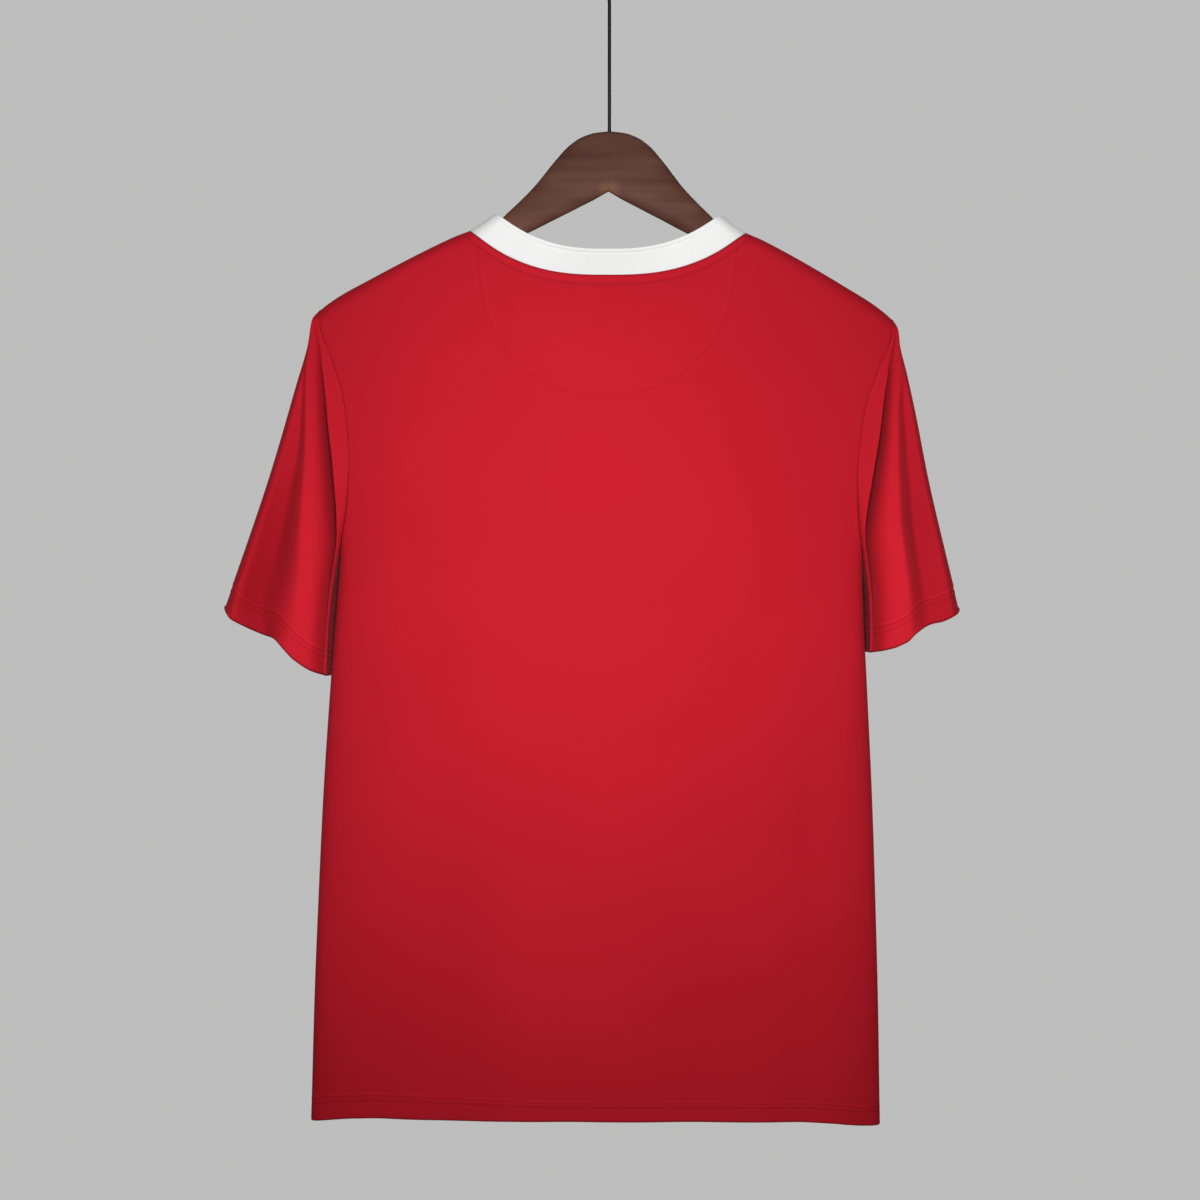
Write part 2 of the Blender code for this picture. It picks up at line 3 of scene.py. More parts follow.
import bmesh
import bpy
import numpy as np
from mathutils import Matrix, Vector


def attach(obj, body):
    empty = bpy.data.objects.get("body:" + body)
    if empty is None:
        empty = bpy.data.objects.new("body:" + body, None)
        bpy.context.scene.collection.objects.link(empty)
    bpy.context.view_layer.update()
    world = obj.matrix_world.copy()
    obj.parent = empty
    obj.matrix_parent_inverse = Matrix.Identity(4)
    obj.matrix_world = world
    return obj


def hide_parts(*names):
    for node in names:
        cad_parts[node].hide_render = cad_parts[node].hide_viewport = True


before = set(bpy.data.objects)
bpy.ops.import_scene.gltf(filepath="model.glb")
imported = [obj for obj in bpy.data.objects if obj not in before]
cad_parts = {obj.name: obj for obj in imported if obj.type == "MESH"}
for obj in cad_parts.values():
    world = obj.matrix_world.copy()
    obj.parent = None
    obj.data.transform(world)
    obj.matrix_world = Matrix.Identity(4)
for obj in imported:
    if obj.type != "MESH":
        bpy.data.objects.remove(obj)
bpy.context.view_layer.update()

# A football jersey hung on a wooden hanger, seen from behind. Sizes are in millimetres unless a note says
# otherwise. x goes to the right, z up, and the jersey's back faces -y. The origin is the inside of the
# hook's crown.
mm = 0.001
mergeDistance = 0.002  # points of a mesh closer than this become one
far = 500.0  # a field of distances holds this where its line is out of reach
hemAt = {"upperRow": 17.0, "lowerRow": 13.0, "edge": 18.4}  # on each hem's own scale of heights


def table(columns, *rows):  # named columns of numbers, each an array
    return dict(zip(columns.split(), np.array(rows, float).T))


def through(places, values, at):  # a smooth curve through points that never swings past them
    order = np.argsort(places)
    places, values, at = np.asarray(places)[order], np.asarray(values)[order], np.asarray(at, float)
    step = np.diff(places)
    slope = np.diff(values) / step
    lean = np.concatenate([slope[:1], np.zeros(len(slope) - 1), slope[-1:]])
    same = slope[:-1] * slope[1:] > 0
    lean[1:-1][same] = 2 * slope[:-1][same] * slope[1:][same] / (slope[:-1] + slope[1:])[same]
    i = np.clip(np.searchsorted(places, at) - 1, 0, len(step) - 1)
    t = np.clip((at - places[i]) / step[i], 0, 1)
    return (values[i] * (1 + 2 * t) * (1 - t) ** 2 + values[i + 1] * t * t * (3 - 2 * t)
            + step[i] * (lean[i] * t * (1 - t) ** 2 - lean[i + 1] * t * t * (1 - t)))


def curveOf(rows, column, at):  # a table's column as a smooth curve over its first one
    return through(next(iter(rows.values())), rows[column], at)


def mix(a, b, share):
    return a + (b - a) * share


def ease(share):  # from 0 to 1 with a level start and end
    share = np.clip(share, 0, 1)
    return share * share * (3 - 2 * share)


def quarter(share):  # the height of a quarter circle
    return np.sqrt(np.maximum(0, 1 - (1 - np.clip(share, 0, 1)) ** 2))


def quarterTurn(steps):
    return np.linspace(0, math.pi / 2, steps + 1)


def bump(away, width):  # a soft rounded line
    return np.exp(-((away / width) ** 2))


def rounded(share, power):  # the height of a rounded square's side
    return (1 - share**power) ** (1 / power)


# ---- lighting, camera and floor

studio = {
    "cameraAt": (-0.0076, -2.0, -0.5248),  # metres, as every place and size here but the lens and sensor
    "lens": 75.0,
    "sensor": 36.0,
    "wall": (0.515, 0.512, 0.512),
    "fill": {"colour": (1, 0.99, 0.98), "strength": 0.17},
    "keyLight": {"at": (0.0, -1.45, -0.36), "aim": (-0.01, 0.0, -0.485), "size": 0.55, "power": 2.6,
                 "spread": 54.0},
    "backLight": {"at": (0.5, 1.9, 0.1), "aim": (0, 0, -0.5), "size": 1.2, "power": 8.0, "spread": 120.0},
    "floor": {"z": -1.9, "radius": 1.7, "segments": 96, "colour": (0.55, 0.55, 0.55), "roughness": 0.8},
}


def addObject(name, data):
    made = bpy.data.objects.new(name, data)
    bpy.context.scene.collection.objects.link(made)
    return made


def addLight(name, at, aim, size, power, spread):  # spread in degrees
    light = bpy.data.lights.new(name, "AREA")
    light.shape = "DISK"
    light.size = size
    light.energy = power
    light.spread = math.radians(spread)
    lamp = addObject(name, light)
    lamp.location = at
    lamp.rotation_euler = Vector(np.subtract(aim, at).tolist()).to_track_quat("-Z", "Y").to_euler()


def addStudio():
    scene = bpy.context.scene
    scene.view_settings.view_transform = "Standard"
    camera = bpy.data.cameras.new("viewCamera")
    camera.lens = studio["lens"]
    camera.sensor_width = studio["sensor"]
    eye = addObject("viewCamera", camera)
    eye.location = studio["cameraAt"]
    eye.rotation_euler = (math.radians(90), 0, 0)
    scene.camera = eye
    world = bpy.data.worlds.new("studioWorld")
    scene.world = world
    world.use_nodes = True
    nodes, links = world.node_tree.nodes, world.node_tree.links
    nodes.clear()
    out = nodes.new("ShaderNodeOutputWorld")
    blend = nodes.new("ShaderNodeMixShader")
    seen = nodes.new("ShaderNodeLightPath")
    fill, wall = nodes.new("ShaderNodeBackground"), nodes.new("ShaderNodeBackground")
    fill.inputs["Color"].default_value = (*studio["fill"]["colour"], 1)
    fill.inputs["Strength"].default_value = studio["fill"]["strength"]
    wall.inputs["Color"].default_value = (*studio["wall"], 1)
    links.new(seen.outputs["Is Camera Ray"], blend.inputs[0])
    links.new(fill.outputs[0], blend.inputs[1])
    links.new(wall.outputs[0], blend.inputs[2])
    links.new(blend.outputs[0], out.inputs["Surface"])
    for name in ("keyLight", "backLight"):
        addLight(name, **studio[name])
    pale = studio["floor"]
    mesh = bpy.data.meshes.new("floor")
    builder = bmesh.new()
    bmesh.ops.create_circle(builder, cap_ends=True, segments=pale["segments"], radius=pale["radius"])
    bmesh.ops.translate(builder, verts=builder.verts, vec=(0, 0, pale["z"]))
    builder.to_mesh(mesh)
    builder.free()
    mesh.materials.append(plainMaterial("paleFloor", pale["colour"], pale["roughness"]))
    floor = addObject("floor", mesh)


# ---- materials

class Nodes:  # a short way to wire a material
    def __init__(self, name):
        self.material = bpy.data.materials.new(name)
        self.material.use_nodes = True
        self.tree = self.material.node_tree
        self.shader = self.tree.nodes["Principled BSDF"]

    def link(self, value, socket):
        if hasattr(value, "links"):
            self.tree.links.new(value, socket)
        elif hasattr(value, "__len__") and len(value) == 3 and socket.type == "RGBA":
            socket.default_value = (*value, 1)
        else:
            socket.default_value = value

    def add(self, kind, out=0, settings=None, **inputs):
        node = self.tree.nodes.new("ShaderNode" + kind)
        for key, value in (settings or {}).items():
            setattr(node, key, value)
        for key, value in inputs.items():
            byPlace = key[0] == "i" and key[1:].isdigit()  # i0, i1 and so on are sockets in their order
            self.link(value, node.inputs[int(key[1:]) if byPlace else key])
        return node.outputs[out]

    def math(self, operation, *values):
        inputs = {f"i{n}": value for n, value in enumerate(values)}
        return self.add("Math", 0, {"operation": operation}, **inputs)

    def coordinate(self):
        return self.add("TexCoord", "Object")

    def field(self, name):
        return self.add("Attribute", "Fac", {"attribute_name": name})

    def noise(self, where, scale, detail=3.0, stretch=(1, 1, 1)):
        moved = self.add("Mapping", 0, None, Vector=where, Scale=stretch)
        return self.add("TexNoise", "Fac", None, Vector=moved, Scale=scale, Detail=detail)

    def line(self, value, centre, half):  # 1 on a line in a field, falling to 0 at its half width
        away = self.math("ABSOLUTE", self.math("SUBTRACT", value, centre))
        smooth = {"interpolation_type": "SMOOTHSTEP"}
        return self.add("MapRange", 0, smooth, i0=away, i1=0.0, i2=half, i3=1.0, i4=0.0)

    def range(self, value, low, high, toLow, toHigh):
        return self.add("MapRange", 0, None, i0=value, i1=low, i2=high, i3=toLow, i4=toHigh)

    def axes(self, where):  # x, y and z apart
        node = self.tree.nodes.new("ShaderNodeSeparateXYZ")
        self.link(where, node.inputs[0])
        return node.outputs

    def colours(self, share, first, second):
        node = self.tree.nodes.new("ShaderNodeMix")
        node.data_type = "RGBA"
        self.link(share, node.inputs["Factor"])
        self.link(first, node.inputs[6])
        self.link(second, node.inputs[7])
        return node.outputs[2]

    def times(self, colour, amount):
        return self.add("VectorMath", 0, {"operation": "SCALE"}, i0=colour, Scale=amount)

    def set(self, **sockets):
        for key, value in sockets.items():
            name = key.replace("_", " ")
            self.link(value, self.shader.inputs[name])

    def bump(self, height, strength, distance, after=None):
        inputs = {"Height": height, "Strength": strength, "Distance": distance}
        if after is not None:
            inputs["Normal"] = after
        return self.add("Bump", 0, None, **inputs)


def plainMaterial(name, colour, roughness):
    nodes = Nodes(name)
    shade = nodes.noise(nodes.coordinate(), 3.0)
    nodes.set(Base_Color=nodes.times(colour, nodes.range(shade, 0.3, 0.7, 0.97, 1.03)), Roughness=roughness)
    return nodes.material


redKnit = {
    "colour": (0.475, 0.0125, 0.0235),
    "deepColour": (0.445, 0.011, 0.0215),
    "roughness": 0.5,
    "sheen": 0.09,
    "sheenTint": (1.0, 0.3, 0.33),
    "wale": 0.95,
    "course": 0.8,
    "knitDepth": 0.0003,  # metres
    "knitStrength": 0.25,
    "foldShadeAndHighlight": (-12, 22, 1.22, 0.56),  # painted shade and highlight on the sleeve folds: a ridge's height and a valley's depth, then the tone at each
    "marks": [  # painted shade and painted highlight along the hem's foot, top edge and stitch rows, the half moon's edge and the neck seam's strip: a field, its value in the middle of a line, the line's half width and its change of tone
        ("hemUp", 0.0, 1.0, -0.45),
        ("hemUp", hemAt["upperRow"], 0.9, -0.16),
        ("hemUp", hemAt["edge"], 1.3, 0.14),
        ("hemUp", hemAt["lowerRow"], 1.1, -0.13),
        ("moonOut", -1.8, 1.8, 0.04),
        ("moonOut", 1.0, 2.2, -0.05),
        ("seamOff", 0.3, 1.2, -0.3),
        ("seamOff", 3.8, 3.6, 0.06),
        ("seamOff", 7.8, 1.9, -0.15),
    ],
}


def knitHeight(nodes, wale, course):  # rows of little chevrons that follow the cloth's own u and v
    across, length = nodes.axes(nodes.add("UVMap", 0, {"uv_map": "clothUv"}))[:2]
    along = nodes.math("DIVIDE", across, wale)
    down = nodes.math("DIVIDE", length, course)
    zigzag = nodes.math("PINGPONG", along, 0.5)
    loops = nodes.math("SINE", nodes.math("MULTIPLY", nodes.math("ADD", down, zigzag), 2 * math.pi))
    ribs = nodes.math("ABSOLUTE", nodes.math("SINE", nodes.math("MULTIPLY", along, math.pi)))
    return nodes.math("MULTIPLY_ADD", loops, 0.5, ribs)


def redMaterial():
    nodes = Nodes("redPolyesterKnit")
    where = nodes.coordinate()
    broad = nodes.noise(where, 5.0, 2.0)
    colour = nodes.colours(nodes.range(broad, 0.35, 0.65, 0, 1), redKnit["deepColour"], redKnit["colour"])
    fields = {name: nodes.field(name) for name in ("hemUp", "moonOut", "seamOff", "foldIn")}
    tone = 1.0
    # painted shade and painted highlight lines along the hems, stitch rows, half moon and neck seam
    for field, centre, half, amount in redKnit["marks"]:
        tone = nodes.math("MULTIPLY_ADD", nodes.line(fields[field], centre, half), amount, tone)
    # painted shade in the sleeve folds' valleys and painted highlight on their ridges, from the fold depth
    tone = nodes.math("MULTIPLY", tone, nodes.range(fields["foldIn"], *redKnit["foldShadeAndHighlight"]))
    nodes.set(Base_Color=nodes.times(colour, tone), Roughness=redKnit["roughness"], Specular_IOR_Level=0.0)
    nodes.set(Sheen_Weight=redKnit["sheen"], Sheen_Roughness=0.4, Sheen_Tint=redKnit["sheenTint"])
    height = knitHeight(nodes, redKnit["wale"], redKnit["course"])
    knit = nodes.bump(height, redKnit["knitStrength"], redKnit["knitDepth"])
    nodes.set(Normal=nodes.bump(nodes.noise(where, 60.0, 4.0), 0.12, 0.0012, knit))
    return nodes.material


whiteKnit = {
    "colour": (0.855, 0.855, 0.855),
    "deepColour": (0.80, 0.80, 0.80),
    "roughness": 0.75,
    "sheen": 0.25,
    "wale": 1.1,
    "course": 0.9,
    "knitDepth": 0.0003,  # metres
    "knitStrength": 0.3,
    "lowerEdgeShade": (1.4, -0.1),  # how far the painted shade along the lower rim reaches, and its change of tone
}


def whiteMaterial():
    nodes = Nodes("whiteNeckbandKnit")
    where = nodes.coordinate()
    colour = nodes.colours(nodes.noise(where, 25.0), whiteKnit["deepColour"], whiteKnit["colour"])
    # painted shade along the neckband's lower rim, where it meets the body
    reach, amount = whiteKnit["lowerEdgeShade"]
    tone = nodes.math("MULTIPLY_ADD", nodes.line(nodes.field("rimOff"), 0.0, reach), amount, 1.0)
    nodes.set(Base_Color=nodes.times(colour, tone), Roughness=whiteKnit["roughness"], Specular_IOR_Level=0.3)
    nodes.set(Sheen_Weight=whiteKnit["sheen"], Sheen_Roughness=0.5)
    height = knitHeight(nodes, whiteKnit["wale"], whiteKnit["course"])
    knit = nodes.bump(height, whiteKnit["knitStrength"], whiteKnit["knitDepth"])
    nodes.set(Normal=nodes.bump(nodes.noise(where, 90.0, 3.0), 0.1, 0.001, knit))
    return nodes.material


wood = {
    "light": (0.135, 0.058, 0.040),
    "dark": (0.072, 0.027, 0.019),
    "roughness": (0.42, 0.56),
    "worn": (0.26, 0.13, 0.075),
    "wornAt": (0.0, -0.006, -0.199),  # metres, as the reach and the joint's half width
    "wornReach": (0.002, 0.011),
    "joint": (0.0012, -0.12),  # the glue line in the middle: its half width and its change of tone
}


def woodMaterial():
    nodes = Nodes("varnishedDarkWood")
    where = nodes.coordinate()
    grain = nodes.noise(where, 30.0, 6.0, (0.35, 3.0, 3.0))
    blotch = nodes.noise(where, 14.0, 3.0, (0.6, 1.0, 1.0))
    share = nodes.math("MULTIPLY_ADD", grain, 0.55, nodes.math("MULTIPLY", blotch, 0.45))
    colour = nodes.colours(nodes.range(share, 0.36, 0.64, 0, 1), wood["dark"], wood["light"])
    away = nodes.add("VectorMath", "Value", {"operation": "DISTANCE"}, i0=where, i1=wood["wornAt"])
    nearby = nodes.range(away, *wood["wornReach"], 0.6, 0)
    worn = nodes.math("MULTIPLY", nearby, nodes.range(grain, 0.35, 0.6, 0.5, 1))
    colour = nodes.colours(worn, colour, wood["worn"])
    half, amount = wood["joint"]
    tone = nodes.math("MULTIPLY_ADD", nodes.line(nodes.axes(where)[0], 0.0, half), amount, 1.0)
    roughness = nodes.range(blotch, 0.3, 0.7, *wood["roughness"])
    nodes.set(Base_Color=nodes.times(colour, tone), Roughness=roughness, Specular_IOR_Level=0.05)
    fine = nodes.noise(where, 260.0, 4.0, (0.06, 1.0, 1.0))
    nodes.set(Normal=nodes.bump(fine, 0.12, 0.0004))
    return nodes.material


steel = {
    "black": (0.016, 0.015, 0.015),
    "rubbed": (0.07, 0.066, 0.062),
    "roughness": (0.28, 0.5),
    "metal": 0.6,
}


def steelMaterial():
    nodes = Nodes("blackLacqueredSteel")
    where = nodes.coordinate()
    rubbed = nodes.noise(where, 180.0, 4.0, (1, 1, 0.15))
    colour = nodes.colours(nodes.range(rubbed, 0.55, 0.8, 0, 1), steel["black"], steel["rubbed"])
    roughness = nodes.range(rubbed, 0.3, 0.7, *steel["roughness"])
    nodes.set(Base_Color=colour, Roughness=roughness, Metallic=steel["metal"])
    nodes.set(Normal=nodes.bump(rubbed, 0.05, 0.00005))
    return nodes.material


# ---- cloth meshes

def settle(points):  # the hung jersey lies a little left of the hook, lower at its right, with its hem curved
    points = np.array(points, float)
    x, z = points[..., 0].copy(), points[..., 2].copy()
    shoulder, hem = body["shoulderUp"], body["hemCurve"]
    high = ease((z - body["shoulderFrom"]) / body["shoulderOver"])
    low = ease((body["hemFrom"] - z) / body["hemOver"])
    points[..., 2] += curveOf(shoulder, "up", np.abs(x)) * high
    points[..., 2] += curveOf(hem, "up", x) * low
    points[..., 2] -= body["rightDrop"] * x * np.abs(x) / body["tipX"] ** 2
    points[..., 0] = body["spread"] * x + curveOf(body["aside"], "x", z)
    return points


def runs(points, axis):  # the distance along each row or column of a grid
    step = np.linalg.norm(np.diff(points, axis=axis), axis=-1)
    start = np.zeros_like(np.take(step, [0], axis))
    return np.concatenate([start, np.cumsum(step, axis)], axis)


def clothObject(name, grids, material, fields=("hemUp", "moonOut", "seamOff", "foldIn"), straight=False):
    # each grid: points, whether its faces turn over, and its fields of distances
    points, faces, uv, values = [], [], [], {field: [] for field in fields}
    for grid, flip, marks in grids:
        rows, columns = grid.shape[:2]
        first = sum(map(len, points))
        index = first + np.arange(rows * columns).reshape(rows, columns)
        quads = np.stack([index[:-1, :-1], index[:-1, 1:], index[1:, 1:], index[1:, :-1]], -1).reshape(-1, 4)
        faces.append(quads[:, ::-1] if flip else quads)
        across = runs(grid, 1)
        along = np.stack([across - across[:, columns // 2][:, None], -runs(grid, 0)], -1)
        uv.append((grid[..., [0, 2]] if straight else along).reshape(-1, 2))  # a panel is cut along its grain
        points.append((settle(grid) * mm).reshape(-1, 3))
        for field in fields:
            value = marks.get(field, 0.0 if field == "foldIn" else far)
            values[field].append(np.broadcast_to(value, (rows, columns)).reshape(-1))
    mesh = bpy.data.meshes.new(name)
    mesh.from_pydata(np.vstack(points).tolist(), [], np.vstack(faces).tolist())
    layer = mesh.uv_layers.new(name="clothUv")
    corner = np.empty(len(mesh.loops), np.int32)
    mesh.loops.foreach_get("vertex_index", corner)
    layer.data.foreach_set("uv", np.vstack(uv)[corner].astype(np.float32).reshape(-1))
    for field in fields:
        attribute = mesh.attributes.new(field, "FLOAT", "POINT")
        attribute.data.foreach_set("value", np.concatenate(values[field]).astype(np.float32))
    builder = bmesh.new()
    builder.from_mesh(mesh)
    bmesh.ops.remove_doubles(builder, verts=builder.verts, dist=mergeDistance * mm)
    builder.to_mesh(mesh)
    builder.free()
    mesh.materials.append(material)
    mesh.shade_smooth()
    return addObject(name, mesh)


def faceOutwards(piece):  # for a closed shape
    builder = bmesh.new()
    builder.from_mesh(piece.data)
    bmesh.ops.recalc_face_normals(builder, faces=builder.faces)
    builder.to_mesh(piece.data)
    builder.free()


def thicken(piece, thickness, rounding=0.0):
    solid = piece.modifiers.new("thickness", "SOLIDIFY")
    solid.thickness = thickness * mm
    solid.offset = -1
    solid.use_rim = True
    if rounding:
        soft = piece.modifiers.new("roundRims", "BEVEL")
        soft.width = rounding * mm
        soft.segments = 3
        soft.limit_method = "ANGLE"
        soft.angle_limit = math.radians(50)
        soft.harden_normals = False


def outwards(grid, flip):  # unit normals of a grid
    across, down = np.gradient(grid, axis=1), np.gradient(grid, axis=0)
    normal = np.cross(across, down) * (1 if flip else -1)
    return normal / np.maximum(np.linalg.norm(normal, axis=-1, keepdims=True), 1e-9)


# ---- the body of the jersey

body = {
    "wall": 1.2, "neckHalf": 110.0, "neckZ": -231.0, "tipX": 229.0, "tipZ": -300.0, "pitZ": -498.0,
    "hemZ": -943.0, "sweepAt": 220.0, "shoulderRound": 14.0, "sidePower": 3.6,
    "overArm": 5.2, "overArmTo": 200.0, "overArmFade": 210.0,  # the cloth's clearance over the hanger's arms
    "neckline": {-1: (36.0, 2.6), 1: (98.0, 2.5)},  # depth and squareness, for the back and the front
    "rightDrop": 3.8, "spread": 1.011,
    "shoulderFrom": -450.0, "shoulderOver": 130.0, "hemFrom": -820.0, "hemOver": 110.0,
    "aside": table("z x", (-943, -11.2), (-780, -10.1), (-590, -8.4), (-424, -5.1), (-231, -1.3),
                   (-150, 0)),
    "shoulderUp": table("x up", (0, 0), (80, 0.4), (110, 1.4), (122, 3.2), (150, 4.6), (190, 6), (229, 6.8),
                        (330, 6.8)),
    "hemCurve": table("x up", (-240, -3.5), (-226, -2.5), (-215, -0.6), (-204, 1.4), (-190, 3.2),
                      (-165, 4.8), (-110, 4.9), (-60, 5.6), (150, 5.7), (185, 4.4), (205, 2.6), (222, 1.6),
                      (240, 1.4)),
    "shoulder": table("x z", (0, -166), (60, -203), (110, -231), (150, -252.5), (190, -275), (215, -289.5),
                      (229, -300), (240, -312)),
    "width": table("z half", (-943, 226), (-845, 224), (-765, 221.5), (-685, 218.5), (-590, 213.5),
                   (-525, 209.5), (-498, 208.5), (-484, 210), (-455, 219), (-424, 231), (-390, 245),
                   (-350, 262), (-300, 288)),
    "depth": table("z half sweep", (-943, 27, 12), (-845, 28, 13), (-700, 30, 16), (-560, 31, 21),
                   (-450, 29, 25), (-300, 26, 28), (-150, 26, 28)),
    "armhole": table("z x", (-498, 208.5), (-482, 206.8), (-455, 203), (-424, 201.5), (-390, 204),
                     (-366, 208.5), (-348, 215), (-337, 219.5), (-322, 226), (-314, 228), (-300, 229)),
    "troughs": {
        -1: table("x0 z0 x1 z1 depth0 depth1 width", (-150, -300, -110, -930, 0.6, 3.0, 26),
                  (-60, -420, -20, -943, 0.0, 2.2, 24), (95, -380, 75, -943, 0.3, 2.6, 28),
                  (180, -330, 165, -900, 0.8, 2.4, 20)),
        1: table("x0 z0 x1 z1 depth0 depth1 width", (-165, -300, -120, -930, 1.0, 5.0, 24),
                 (-45, -400, -60, -943, 0.5, 4.0, 22), (40, -380, 20, -943, 0.5, 4.5, 26),
                 (150, -300, 120, -930, 1.0, 5.5, 26)),
    },
    "hemDeep": table("x deep", (-230, 18.4), (-150, 18.2), (-70, 16.5), (-30, 14.8), (230, 14.8)),
    "hemLift": 0.5, "hemRound": 0.45, "rowsDeep": (0.42, 0.38), "moonLift": 0.3,
    "strip": 7.0, "stripLift": 0.45, "seamDeep": 0.35, "seamHalf": 1.1,
    "troughFade": 26.0, "reliefFade": 4.0, "unevenFade": 20.0,  # they fade where the half depth is under this
    "roundSteps": 12, "armholeSteps": 81, "lowSteps": 96, "hemSteps": 26, "hemRows": 27.0,
    "neckSteps": 56, "shoulderSteps": 40, "neckSpacing": 1.15, "lowSpacing": 0.8,
}
moon = {  # the half moon inside the back neck
    "half": 101.0, "lowZ": -362.0, "sideZ": -248.0, "curve": 2.2, "belowSeam": 3.0,
    "wall": 1.0, "onPanel": 0.7, "across": 64, "down": 40,
}
arm = {  # the hanger's wood, from its middle outwards
    "outline": table("x top bottom half", (0, -150, -198, 7), (12, -151.5, -205, 7), (22, -155, -210.2, 7),
                     (32, -162, -215.4, 7.1), (43, -174.4, -221, 7.2), (58, -193.6, -228.8, 7.5),
                     (70, -206.4, -234.5, 7.9), (80, -216, -239, 7.5), (90, -226, -242, 8.2),
                     (110, -237.5, -252, 8.8), (150, -257, -273, 10.4), (190, -280, -296, 11.4),
                     (214, -294.5, -309, 11.6), (221, -300, -307, 7.5)),
    "power": 3.1, "sections": 261, "round": 56, "endRound": 5.0,
}


def shoulderZ(x):
    return curveOf(body["shoulder"], "z", np.abs(x))


def sweepY(x, z):  # the middle of the body's depth, which follows the hanger's arms
    return curveOf(body["depth"], "sweep", z) * (x / body["sweepAt"]) ** 2


def halfDepth(x, z):
    below = shoulderZ(x) - z
    hung = curveOf(body["depth"], "half", z)
    out = np.minimum(np.abs(x), body["overArmTo"])
    overArm = curveOf(arm["outline"], "half", out) + body["overArm"]
    full = mix(overArm, hung, ease(below / body["overArmFade"]))
    side = np.clip(np.abs(x) / curveOf(body["width"], "half", z), 0, 1)
    return full * quarter(below / body["shoulderRound"]) * rounded(side, body["sidePower"])


def troughs(rows, x, z):  # soft hollows down the cloth, each from one point to another
    deep = np.zeros(np.broadcast(x, z).shape)
    for x0, z0, x1, z1, depth0, depth1, width in zip(*rows.values()):
        down = (z0 - z) / (z0 - z1)
        away = x - mix(x0, x1, down)
        deep += mix(depth0, depth1, np.clip(down, 0, 1)) * ease(down * 4) * bump(away, width)
    return deep


def necklineZ(x, face):
    drop, curve = body["neckline"][face]
    return body["neckZ"] - drop * (1 - np.clip(np.abs(x) / body["neckHalf"], 0, 1) ** curve)


def belowNeck(x, z, face):  # how far under the neckline a place is
    return np.where(np.abs(x) < body["neckHalf"], necklineZ(x, face) - z, far)


def moonOut(x, z):  # about how far outside the half moon's edge a place is
    tall = moon["sideZ"] - moon["lowZ"]
    over = np.abs(x) / moon["half"], np.maximum(moon["sideZ"] - z, 0) / tall
    reach = (over[0] ** moon["curve"] + over[1] ** moon["curve"]) ** (1 / moon["curve"])
    steep = np.hypot(over[0] / moon["half"], over[1] / tall) / np.maximum(np.hypot(*over), 1e-6)
    return (reach - 1) / np.maximum(steep, 1e-6)


def hemUp(x, z):  # height above the hem, on a scale that has the upper row of stitches at its own place
    deep = curveOf(body["hemDeep"], "deep", x)
    return (z - body["hemZ"]) * hemAt["upperRow"] / deep


def hemRelief(up, shape):  # a hem's second layer, its rounded foot and its two sunk rows of stitches
    layer = shape["hemLift"] * ease((hemAt["edge"] - up) / 1.6) * ease(up / 1.4)
    upper, lower = shape["rowsDeep"]
    sunk = upper * bump(up - hemAt["upperRow"], 1.0) + lower * bump(up - hemAt["lowerRow"], 1.0)
    return layer - shape["hemRound"] * ease(1 - up / 1.4) - sunk


def relief(x, z, face):  # hems, seams and what shows through, as a height on the cloth
    lift = hemRelief(hemUp(x, z), body)
    if face < 0:
        out = moonOut(x, z)
        edge = 0.1 * bump(out + 1.8, 1.8) - 0.1 * bump(out - 1.4, 1.8)
        lift += body["moonLift"] * ease((0.8 - out) / 2.2) + edge
    below = belowNeck(x, z, face)
    lift += body["stripLift"] * ease((body["strip"] + 0.6 - below) / 1.5) - 0.7 * bump(below, 1.0)
    return lift


def uneven(x, z):  # the slight unevenness of hung cloth
    return (0.22 * np.sin(x / 31 + z / 77 + 0.4) * np.sin(z / 43 - x / 90)
            + 0.14 * np.sin(x / 17 - z / 120 + 2.0) * np.sin(z / 29 + 1.1))


def bodyY(x, z, face, plain=False):
    out = halfDepth(x, z)
    soft = troughs(body["troughs"][face], x, z) * ease(out / body["troughFade"])
    lift = 0.0
    if not plain:
        lift = relief(x, z, face) * ease(out / body["reliefFade"])
        lift = lift + uneven(x, z) * ease(out / body["unevenFade"])
    return sweepY(x, z) + face * (out - soft + lift)


def insideBody(x, z, face, depth):  # points under the outside of the cloth, square to it
    y = bodyY(x, z, face, plain=True)
    leanX = bodyY(x + 1, z, face, plain=True) - y
    leanZ = bodyY(x, z + 1, face, plain=True) - y
    inwards = face * np.stack([leanX, -np.ones_like(y), leanZ], -1)
    y = bodyY(x, z, face) if depth < 0 else y
    return np.stack([x, y, z], -1) + depth * inwards / np.linalg.norm(inwards, axis=-1, keepdims=True)


def armholeZ():  # the heights of an armhole's points, from the shoulder's edge to the underarm
    turn = quarterTurn(body["roundSteps"])
    top = body["tipZ"] - body["shoulderRound"] * (1 - np.cos(turn))
    down = np.sin(quarterTurn(body["armholeSteps"]))[1:]
    return np.concatenate([top, mix(top[-1], body["pitZ"], down)])


